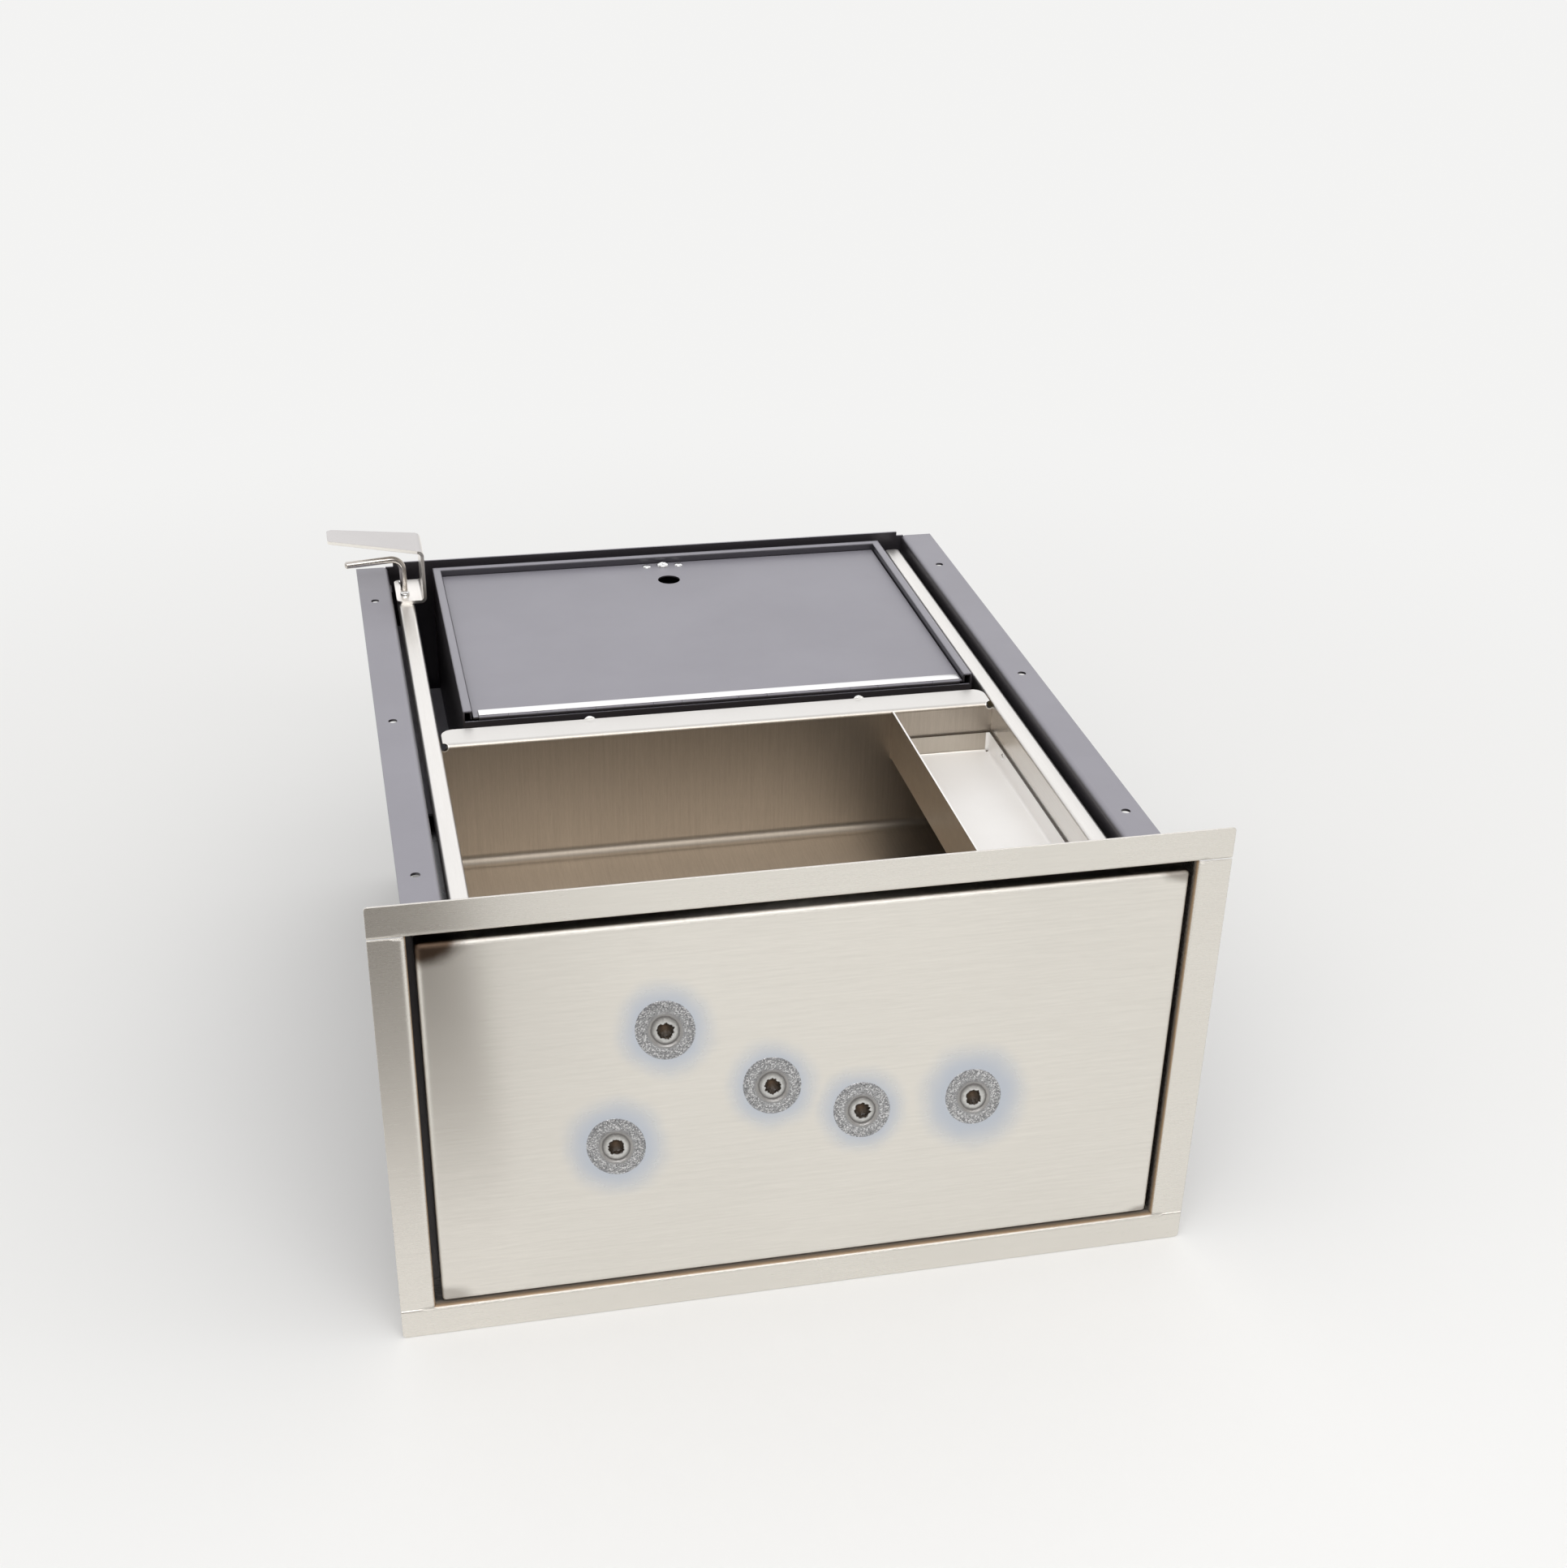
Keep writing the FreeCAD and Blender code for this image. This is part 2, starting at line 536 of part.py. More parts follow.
# ---- drawer body --------------------------------------------------------------------------
bottom_rivets = [V(drawer_half, y, drawer_z0 + tab_rise) for y in rivet_ys]
shelf_rivets = [V(drawer_half, baffle_y1 + share * (drawer_rear - baffle_y1), shelf_z - 0.5 * TAB)
                for share in (0.15, 0.45, 0.8)]
coin_rivets = [V(tray_half - COIN_T, tray_y0 + share * TRAY_LEN, coin_z + COIN_RIVET * COIN_UPSTAND)
               for share in (0.25, 0.87)]


def drawer_side():
    """Right side sheet: tab to the front, full-height web, rail turned outwards and down."""
    path = [(rail_x1, rail_z - RAIL_LIP), (rail_x1, rail_z), (tray_half, rail_z), (tray_half, drawer_z0)]
    web = bent_sheet(path, DRAWER_T, [RAIL_BEND] * 2, "XZ", tab_y0, drawer_rear)
    low, high = rail_z - RAIL_LIP - 1, rail_z + 1
    corner = block(rail_x1 - RAIL_CORNER, rail_x1 + 1, drawer_rear - RAIL_CORNER, drawer_rear + 1, low, high)
    web = web.cut(corner.cut(rod(RAIL_CORNER, V(rail_x1 - RAIL_CORNER, drawer_rear - RAIL_CORNER, low),
                                 Z_AXIS, high - low)))
    tab_top = rail_z - DRAWER_T - RAIL_BEND
    tab = block(tray_half - FRONT_TAB, tray_half, tab_y0, tab_y0 + DRAWER_T, drawer_z0, tab_top)
    side = web.fuse(tab).removeSplitter()
    side = drill(side, [p for p in front_bolt_spots if p.x > 0], Y_AXIS, BOLT_R + HOLE_FIT, 2 * DRAWER_T)
    side = drill(side, bottom_rivets + shelf_rivets + coin_rivets, X_AXIS, RIVET_R + HOLE_FIT, 3 * DRAWER_T)
    return drill(side, [V(drawer_half, y, slide_z) for y in screw_ys], X_AXIS, SCREW_R + HOLE_FIT, 2 * DRAWER_T)


def drawer_side_left():
    """Left side sheet, with the holes for the handle and the latch rod in its rail."""
    side = mirrored(drawer_side())
    side = drill(side, [V(x, y, rail_z) for x, y in handle_screws], Z_AXIS, PAN_R + HOLE_FIT, 2 * DRAWER_T)
    return drill(side, [V(rod_x, rod_y, rail_z)], Z_AXIS, ROD_D / 2 + ROD_FIT, 2 * DRAWER_T)


def drawer_bottom():
    """Bottom sheet between the drawer sides, with riveted tabs turned up."""
    z = drawer_z0
    path = [(-tray_half, z + TAB), (-tray_half, z), (tray_half, z), (tray_half, z + TAB)]
    pan = bent_sheet(path, DRAWER_T, [RAIL_BEND] * 2, "XZ", tab_y0 + DRAWER_T, drawer_rear)
    return drill(pan, both_sides(bottom_rivets), X_AXIS, RIVET_R + HOLE_FIT, 3 * DRAWER_T)


def cash_shelf():
    """Shelf that carries the cash box, with riveted tabs turned down."""
    z = box_z0
    path = [(tray_half, z - TAB), (tray_half, z), (-tray_half, z), (-tray_half, z - TAB)]
    shelf = bent_sheet(path, DRAWER_T, [RAIL_BEND] * 2, "XZ", baffle_y1, drawer_rear)
    shelf = drill(shelf, both_sides(shelf_rivets), X_AXIS, RIVET_R + HOLE_FIT, 3 * DRAWER_T)
    return drill(shelf, box_bolt_spots, Z_AXIS, BOLT_R + HOLE_FIT, 3 * DRAWER_T)


def drawer_back():
    """Stiffening sheet at the rear, between the bottom and the shelf."""
    x, y = tray_half - DRAWER_T - RAIL_BEND, drawer_rear
    path = [(x, y - TAB), (x, y), (-x, y), (-x, y - TAB)]
    return bent_sheet(path, DRAWER_T, [RAIL_BEND] * 2, "XY", drawer_z0 + DRAWER_T, shelf_z)


def tray_pan():
    """Front wall, floor, rear wall and top flange of the deal tray from one sheet."""
    path = [(tray_y0, rail_z - TRAY_T), (tray_y0, floor_z - TRAY_T), (baffle_y0, floor_z - TRAY_T),
            (baffle_y0, rail_z - TRAY_T), (baffle_y1 - FRAME_JOINT, rail_z - TRAY_T)]
    radii = [TRAY_FLOOR_BEND, TRAY_FLOOR_BEND, TRAY_FLANGE_BEND]
    pan = bent_sheet(path, TRAY_T, radii, "YZ", -tray_half, tray_half)
    bend = TRAY_FLANGE_BEND + TRAY_T
    for s in (-1, 1):
        x0, x1 = sorted((s * (tray_half - TRAY_FLANGE_TRIM), s * (tray_half + 1)))
        pan = pan.cut(block(x0, x1, wall_y - 1, baffle_y1, rail_z - bend, rail_z + 1))
        spot = V(s * (tray_half - TRAY_FLANGE_TRIM), wall_y + 0.3 * bend, rail_z - 0.3 * bend)
        pan = pan.cut(rod(RELIEF_D / 2, spot - V(0, 1, -1) * bend, V(0, 1, -1), 3 * bend))
    return round_edges(pan, TRAY_FLANGE_CORNER,
                       lambda p, e: abs(p.y - baffle_y1 + FRAME_JOINT) < 1e-3 and abs(e.Length - TRAY_T) < 1e-3
                       and abs(abs(p.x) - tray_half + TRAY_FLANGE_TRIM) < 1e-3)


def coin_tray():
    """Raised tray at the right: tall left wall, floor, low flanges on the other three sides."""
    x0, x1 = tray_half - COIN_W, tray_half
    y0, y1 = tray_y0 + TRAY_T, wall_y
    under, low, tall = coin_z - COIN_T, coin_z + COIN_UPSTAND, rail_z - COIN_WALL_DROP
    corner = COIN_T + COIN_BEND
    across = bent_sheet([(x0, tall), (x0, under), (x1, under), (x1, low)], COIN_T, [COIN_BEND] * 2, "XZ",
                        y0 + corner, y1 - corner)
    along = bent_sheet([(y0, low), (y0, under), (y1, under), (y1, low)], COIN_T, [COIN_BEND] * 2, "YZ",
                       x0 + corner, x1 - corner)
    welded = []
    for ya, yb in ((y0, y0 + corner), (y1 - corner, y1)):
        welded.append(block(x0, x0 + COIN_T, ya, yb, coin_z, tall))
        welded.append(block(x1 - COIN_T, x1, ya, yb, coin_z, low))
    for ya in (y0, y1 - COIN_T):
        welded.append(block(x0, x0 + corner, ya, ya + COIN_T, coin_z, low))
        welded.append(block(x1 - corner, x1, ya, ya + COIN_T, coin_z, low))
    tray = across.fuse([along] + welded).removeSplitter()
    return drill(tray, coin_rivets, X_AXIS, RIVET_R + HOLE_FIT, 2 * COIN_T)


def baffle():
    """Ballistic board behind the deal tray, from the drawer's bottom to the tray's flange."""
    half = tray_half - BAFFLE_TRIM
    board = block(-half, half, baffle_y0, baffle_y1, drawer_z0 + DRAWER_T, rail_z - TRAY_T)
    board = round_edges(board, TRAY_FLANGE_BEND,
                        lambda p, e: abs(p.y - baffle_y0) < 1e-3 and abs(p.z - rail_z + TRAY_T) < 1e-3)
    return drill(board, baffle_spots, Y_AXIS, BAFFLE_BOLT_R + HOLE_FIT / 2, BAFFLE_BOLT_LEN + HOLE_FIT)


baffle_spots = [V(x, baffle_y1, z) for x in BAFFLE_BOLT_X
                for z in (rail_z - BAFFLE_BOLT_TOP, drawer_z0 + 0.25 * TRAY_DEPTH)]


# ---- cash box and lid ---------------------------------------------------------------------
box_bolt_spots = [V(x, y, box_z0 + BOX_T) for x in (box_x0 + 2 * TAB, box_x1 - 2 * TAB)
                  for y in (box_y0 + 3 * TAB, drawer_rear - 3 * TAB)]
box_bolt_len = BOX_T + DRAWER_T


def cash_box():
    """Front wall, floor and rear wall of the box from one sheet; the front stops under the hinge."""
    front_top = hinge_z - HINGE_R - HINGE_AIR
    path = [(box_y0, front_top), (box_y0, box_z0), (box_y1, box_z0), (box_y1, rim_z - BOX_T)]
    wrap = bent_sheet(path, BOX_T, [BOX_BEND] * 2, "YZ", box_x0 + BOX_T, box_x1 - BOX_T)
    return drill(wrap, box_bolt_spots, Z_AXIS, BOLT_R + HOLE_FIT, 2 * BOX_T)


def cash_box_ends():
    """The two side walls, welded to the ends of the bent sheet."""
    ends = []
    for x in (box_x0, box_x1 - BOX_T):
        plate = block(x, x + BOX_T, box_y0, box_y1, box_z0, rim_z - BOX_T)
        ends.append(round_edges(plate, BOX_T + BOX_BEND,
                                lambda p, e: p.z < box_z0 + 1e-3 and abs(e.Length - BOX_T) < 1e-3))
    return group(ends)


def cash_box_rim():
    """Rolled rim round both sides and the rear: a flat top with an inner lip turned down."""
    rim = block(box_x0, box_x1, box_y0, box_y1, rim_z - RIM_LIP, rim_z)
    rim = round_edges(rim, RIM_ROUND, lambda p, e: p.z > rim_z - 1e-3)
    mouth = block(box_x0 + RIM_W, box_x1 - RIM_W, box_y0 - 1, box_y1 - RIM_W, rim_z - RIM_LIP - 1, rim_z + 1)
    under = block(box_x0 - 1, box_x1 + 1, box_y0 - 1, box_y1 + 1, rim_z - RIM_LIP - 1, rim_z - BOX_T)
    lip = block(box_x0 + RIM_W - BOX_T, box_x1 - RIM_W + BOX_T, box_y0 + BOX_T, box_y1 - RIM_W + BOX_T,
                rim_z - RIM_LIP, rim_z - 0.5 * BOX_T)
    rim = rim.cut(under).fuse(lip).cut(mouth).removeSplitter()
    inner = [(0, box_x0 + RIM_W), (0, box_x1 - RIM_W), (1, box_y1 - RIM_W)]
    return round_edges(rim, 0.6 * BOX_T, lambda p, e: p.z > rim_z - 1e-3
                       and any(abs(p[axis] - place) < 1e-3 for axis, place in inner))


def knuckle_spans():
    """Lengths of the hinge barrel, taken in turn by the lid's leaf and the box's leaf."""
    count = 2 * int((hinge_x1 - hinge_x0) / KNUCKLE / 2) + 1
    step = (hinge_x1 - hinge_x0) / count
    half_gap = KNUCKLE_GAP / 2
    return [(hinge_x0 + n * step + half_gap, hinge_x0 + (n + 1) * step - half_gap) for n in range(count)]


def barrel(spans):
    """Knuckles on the hinge axis, bored for the pin."""
    axis = V(0, hinge_y, hinge_z)
    bore = HINGE_PIN_R + HINGE_FIT
    return [rod(HINGE_R, axis + X_AXIS * a, X_AXIS, b - a).cut(rod(bore, axis + X_AXIS * a, X_AXIS, b - a))
            for a, b in spans]


def hinge_lid_leaf():
    """Bright strip on the lid's front edge with every other knuckle."""
    edge = box_y0 + LID_FRONT
    z0 = lid_z
    leaf = block(hinge_x0, hinge_x1, edge, hinge_y + HINGE_LEAF_W, z0, z0 + HINGE_LEAF_T)
    spans = knuckle_spans()[0::2]
    bore = rod(HINGE_PIN_R + HINGE_FIT, V(hinge_x0 - 1, hinge_y, hinge_z), X_AXIS, hinge_x1 - hinge_x0 + 2)
    arms = [block(a, b, hinge_y, edge + 1, z0, z0 + HINGE_LEAF_T) for a, b in spans]
    return leaf.fuse(arms + barrel(spans)).removeSplitter().cut(bore)


def hinge_box_leaf():
    """Leaf inside the box front with the knuckles between the lid's."""
    y0 = box_y0 + BOX_T
    top = hinge_z - HINGE_R - KNUCKLE_GAP
    leaf = block(hinge_x0, hinge_x1, y0, y0 + HINGE_LEAF_T, top - HINGE_LEAF_H, top)
    spans = knuckle_spans()[1::2]
    bore = rod(HINGE_PIN_R + HINGE_FIT, V(hinge_x0 - 1, hinge_y, hinge_z), X_AXIS, hinge_x1 - hinge_x0 + 2)
    arms = [block(a, b, y0, y0 + HINGE_LEAF_T, top - 1, hinge_z) for a, b in spans]
    return leaf.fuse(arms + barrel(spans)).removeSplitter().cut(bore)


def hinge_pin():
    """Pin through all the knuckles."""
    return rod(HINGE_PIN_R, V(hinge_x0, hinge_y, hinge_z), X_AXIS, hinge_x1 - hinge_x0)


def lid_panel():
    """Flat lid with skirts at both sides and the rear, a finger hole and the catch's holes."""
    y0 = box_y0 + LID_FRONT
    top = block(lid_x0, lid_x1, y0, lid_y1, lid_z - LID_T, lid_z)
    ears = [block(lid_x0, hinge_x0 - KNUCKLE_GAP, box_y0 + 0.5, y0 + 1, lid_z - LID_T, lid_z),
            block(hinge_x1 + KNUCKLE_GAP, lid_x1, box_y0 + 0.5, y0 + 1, lid_z - LID_T, lid_z)]
    low = lid_z - LID_T - LID_SKIRT
    skirts = [block(lid_x0, lid_x0 + LID_T, y0 + TAB, lid_y1, low, lid_z),
              block(lid_x1 - LID_T, lid_x1, y0 + TAB, lid_y1, low, lid_z),
              block(lid_x0, catch_x - 0.6 * CATCH_W, lid_y1 - LID_T, lid_y1, low, lid_z),
              block(catch_x + 0.6 * CATCH_W, lid_x1, lid_y1 - LID_T, lid_y1, low, lid_z)]
    lid = top.fuse(ears + skirts).removeSplitter()
    lid = drill(lid, [V(catch_x, lid_y1 - FINGER_HOLE_REAR, lid_z)], Z_AXIS, FINGER_HOLE_D / 2, 2 * LID_T)
    return drill(lid, catch_spots, Z_AXIS, RIVET_R + HOLE_FIT, 2 * LID_T)


catch_spots = [V(catch_x + n * CATCH_PITCH, catch_y, lid_z) for n in (-1, 0, 1)]


def catch_plate():
    """Steel strip under the lid that the magnet holds."""
    plate = block(catch_x - CATCH_W / 2, catch_x + CATCH_W / 2, catch_y - CATCH_LEN / 2,
                  catch_y + CATCH_LEN / 2 - 0.5, catch_z, catch_z + CATCH_T)
    return drill(plate, catch_spots, Z_AXIS, RIVET_R + HOLE_FIT, 3 * CATCH_T)


def magnetic_catch():
    """Magnet housing on the box's rear wall, just under the catch plate."""
    top = catch_z - CATCH_AIR
    body = block(catch_x - CATCH_W / 2, catch_x + CATCH_W / 2, catch_y - CATCH_LEN / 2, box_y1 - BOX_T,
                 top - MAGNET_H, top)
    tips = [rod(RIVET_HEAD_R + HOLE_FIT, V(spot.x, spot.y, top - TIP_ROOM), Z_AXIS, TIP_ROOM + 1)
            for spot in catch_spots]
    return body.cut(tips)


# ---- handle and latch ---------------------------------------------------------------------
def handle_bracket():
    """Base plate on the left rail, riser and tapered pull blade from one bent sheet."""
    z0 = rail_z
    z1 = z0 + HANDLE_T + HANDLE_RISE
    tip_x = riser_x - HANDLE_REACH
    path = [(base_x0, z0), (riser_x, z0), (riser_x, z1), (tip_x, z1)]
    band = bent_sheet(path, HANDLE_T, [HANDLE_BEND] * 2, "XZ",
                      base_y0 - HANDLE_SWEEP, base_y1 + 2 * HANDLE_SWEEP)
    bend = HANDLE_T + HANDLE_BEND
    root_y1 = base_y1 - HANDLE_SHOULDER
    root_y0 = root_y1 - HANDLE_ROOT
    tip_y1 = base_y1 + HANDLE_SWEEP
    tip_y0 = tip_y1 - HANDLE_TIP
    inner_x = riser_x - bend
    outer_x = riser_x + 1

    def prism(corners, along):
        """The polygon through the corners, extruded."""
        return Part.Face(Part.makePolygon([V(*c) for c in corners + corners[:1]])).extrude(along)

    foot = block(base_x0, outer_x, base_y0, base_y1, z0 - 1, z0 + bend)
    riser = prism([(inner_x, base_y0, z0 + bend), (inner_x, base_y1, z0 + bend),
                   (inner_x, root_y1, z1 - bend), (inner_x, root_y0, z1 - bend)], X_AXIS * (bend + 1))
    blade = prism([(outer_x, root_y0, z1 - bend), (outer_x, root_y1, z1 - bend), (inner_x, root_y1, z1 - bend),
                   (tip_x, tip_y1, z1 - bend), (tip_x, tip_y0, z1 - bend), (inner_x, root_y0, z1 - bend)],
                  Z_AXIS * (bend + 1))
    foot = round_edges(foot, HANDLE_CORNER,
                       lambda p, e: abs(p.x - base_x0) < 1e-3 and abs(e.tangentAt(e.FirstParameter).z) > 0.9)
    blade = round_edges(blade, HANDLE_CORNER,
                        lambda p, e: abs(p.x - tip_x) < 1e-3 and abs(e.tangentAt(e.FirstParameter).z) > 0.9)
    bracket = band.common(foot).fuse([band.common(riser), band.common(blade)]).removeSplitter()
    bracket = drill(bracket, [V(x, y, z0) for x, y in handle_screws], Z_AXIS, PAN_R + HOLE_FIT, 2 * HANDLE_T)
    return drill(bracket, [V(rod_x, rod_y, z0)], Z_AXIS, ROD_D / 2 + ROD_FIT, 2 * HANDLE_T)


def latch_rod():
    """Bent rod: grip under the blade, bend, and a straight pin down to the keeper."""
    grip_z = rail_z + ROD_GRIP_Z
    level = V(-ROD_REACH, -ROD_SWEEP, 0).normalize()
    foot = V(rod_x, rod_y, pin_z)
    knee = V(rod_x, rod_y, grip_z)
    up_end = knee - Z_AXIS * ROD_BEND
    out_start = knee + level * ROD_BEND
    centre = knee - Z_AXIS * ROD_BEND + level * ROD_BEND
    middle = centre - (level - Z_AXIS).normalize() * ROD_BEND
    grip_end = V(rod_x - ROD_REACH, rod_y - ROD_SWEEP, grip_z)
    spine = Part.Wire([Part.LineSegment(foot, up_end).toShape(), Part.Arc(up_end, middle, out_start).toShape(),
                       Part.LineSegment(out_start, grip_end).toShape()])
    circle = Part.Wire([Part.makeCircle(ROD_D / 2, foot, Z_AXIS)])
    bar = spine.makePipeShell([circle], True, True)
    return bar.makeChamfer(ROD_CHAMFER, [e for e in bar.Edges
                                         if e.CenterOfMass.distanceToPoint(foot) < 1e-3
                                         or e.CenterOfMass.distanceToPoint(grip_end) < 1e-3])


def latch_collar():
    """Ring pressed on the rod below the rail: the spring pushes on it."""
    z = rail_z - COLLAR_Z - COLLAR_H
    ring = rod(COLLAR_R, V(rod_x, rod_y, z), Z_AXIS, COLLAR_H)
    return ring.cut(rod(ROD_D / 2 + ROD_FIT / 2, V(rod_x, rod_y, z), Z_AXIS, COLLAR_H))


def latch_spring():
    """Compression spring between the rail and the collar."""
    coil_r = ROD_D / 2 + SPRING_FIT + SPRING_WIRE / 2
    z0 = rail_z - COLLAR_Z + SPRING_WIRE / 2
    z1 = rail_z - DRAWER_T - SPRING_WIRE / 2
    helix = Part.makeHelix((z1 - z0) / SPRING_TURNS, z1 - z0, coil_r)
    along = helix.Edges[0].tangentAt(helix.Edges[0].FirstParameter)
    circle = Part.Wire([Part.makeCircle(SPRING_WIRE / 2, V(coil_r, 0, 0), along)])
    coil = Part.Wire(helix).makePipeShell([circle], True, True)
    coil.translate(V(rod_x, rod_y, z0))
    return coil


# ---- telescopic slides, right-hand side ---------------------------------------------------
outer_half = SLIDE_H / 2
race_out = outer_half - SLIDE_T
mid_half = race_out - BALL_D - 2 * BALL_FIT
race_in = mid_half - SLIDE_MID_T
inner_half = race_in - BALL_D - 2 * BALL_FIT
mid_web = cab_half - SLIDE_T - SLIDE_HEAD_ROOM


def channel(web_x, lip_x, half, thickness):
    """C section whose web stands at WEB_X and whose lips reach LIP_X."""
    path = [(lip_x, slide_z - half), (web_x, slide_z - half), (web_x, slide_z + half), (lip_x, slide_z + half)]
    if lip_x > web_x:
        path = path[::-1]
    return bent_sheet(path, thickness, [0.5 * thickness] * 2, "XZ", slide_y0, slide_y1)


def slide_outer():
    """Member screwed to the cabinet wall."""
    member = channel(cab_half, drawer_half + SLIDE_LIP_OUT, outer_half, SLIDE_T)
    return drill(member, slide_screws, X_AXIS, SCREW_R + HOLE_FIT, 2 * SLIDE_T)


def slide_middle():
    """Floating member between the two rows of balls."""
    return channel(mid_web, drawer_half + SLIDE_LIP_MID, mid_half, SLIDE_MID_T)


def slide_inner():
    """Member riveted to the drawer side."""
    member = channel(drawer_half, mid_web - SLIDE_MID_T - SLIDE_LIP_IN, inner_half, SLIDE_T)
    spots = [V(drawer_half, y, slide_z) for y in screw_ys]
    return drill(member, spots, X_AXIS, SCREW_R + HOLE_FIT, 2 * SLIDE_T)


def slide_bearings():
    """Four rows of balls, each in its cage strip."""
    rows = []
    outer_x = 0.5 * (drawer_half + SLIDE_LIP_MID + mid_web)
    inner_x = 0.5 * (drawer_half + SLIDE_LIP_MID + mid_web - SLIDE_MID_T - SLIDE_LIP_IN)
    cage_len = BALL_PITCH * BALL_COUNT
    places = ((outer_x, race_out - BALL_FIT - BALL_D / 2, slide_y1 - CAGE_INSET - cage_len),
              (inner_x, race_in - BALL_FIT - BALL_D / 2, slide_y0 + CAGE_INSET))
    for x, z, y0 in places:
        for s in (-1, 1):
            centres = [V(x, y0 + (n + 0.5) * BALL_PITCH, slide_z + s * z) for n in range(BALL_COUNT)]
            cage = block(x - CAGE_W / 2, x + CAGE_W / 2, y0, y0 + cage_len, slide_z + s * z - CAGE_T / 2,
                         slide_z + s * z + CAGE_T / 2)
            rows.append(drill(cage, centres, Z_AXIS, BALL_D / 2 + BALL_FIT, CAGE_T))
            rows += [Part.makeSphere(BALL_D / 2, c) for c in centres]
    return group(rows)


# ---- fastener groups ----------------------------------------------------------------------
def side_fasteners(spots, outward, head_r, head_h, shank_r, shank_len):
    """The same fastener on both sides, heads pointing away from or towards the middle."""
    made = [button(spot, X_AXIS * outward, head_r, head_h, shank_r, shank_len) for spot in spots]
    return made + [mirrored(one) for one in made]


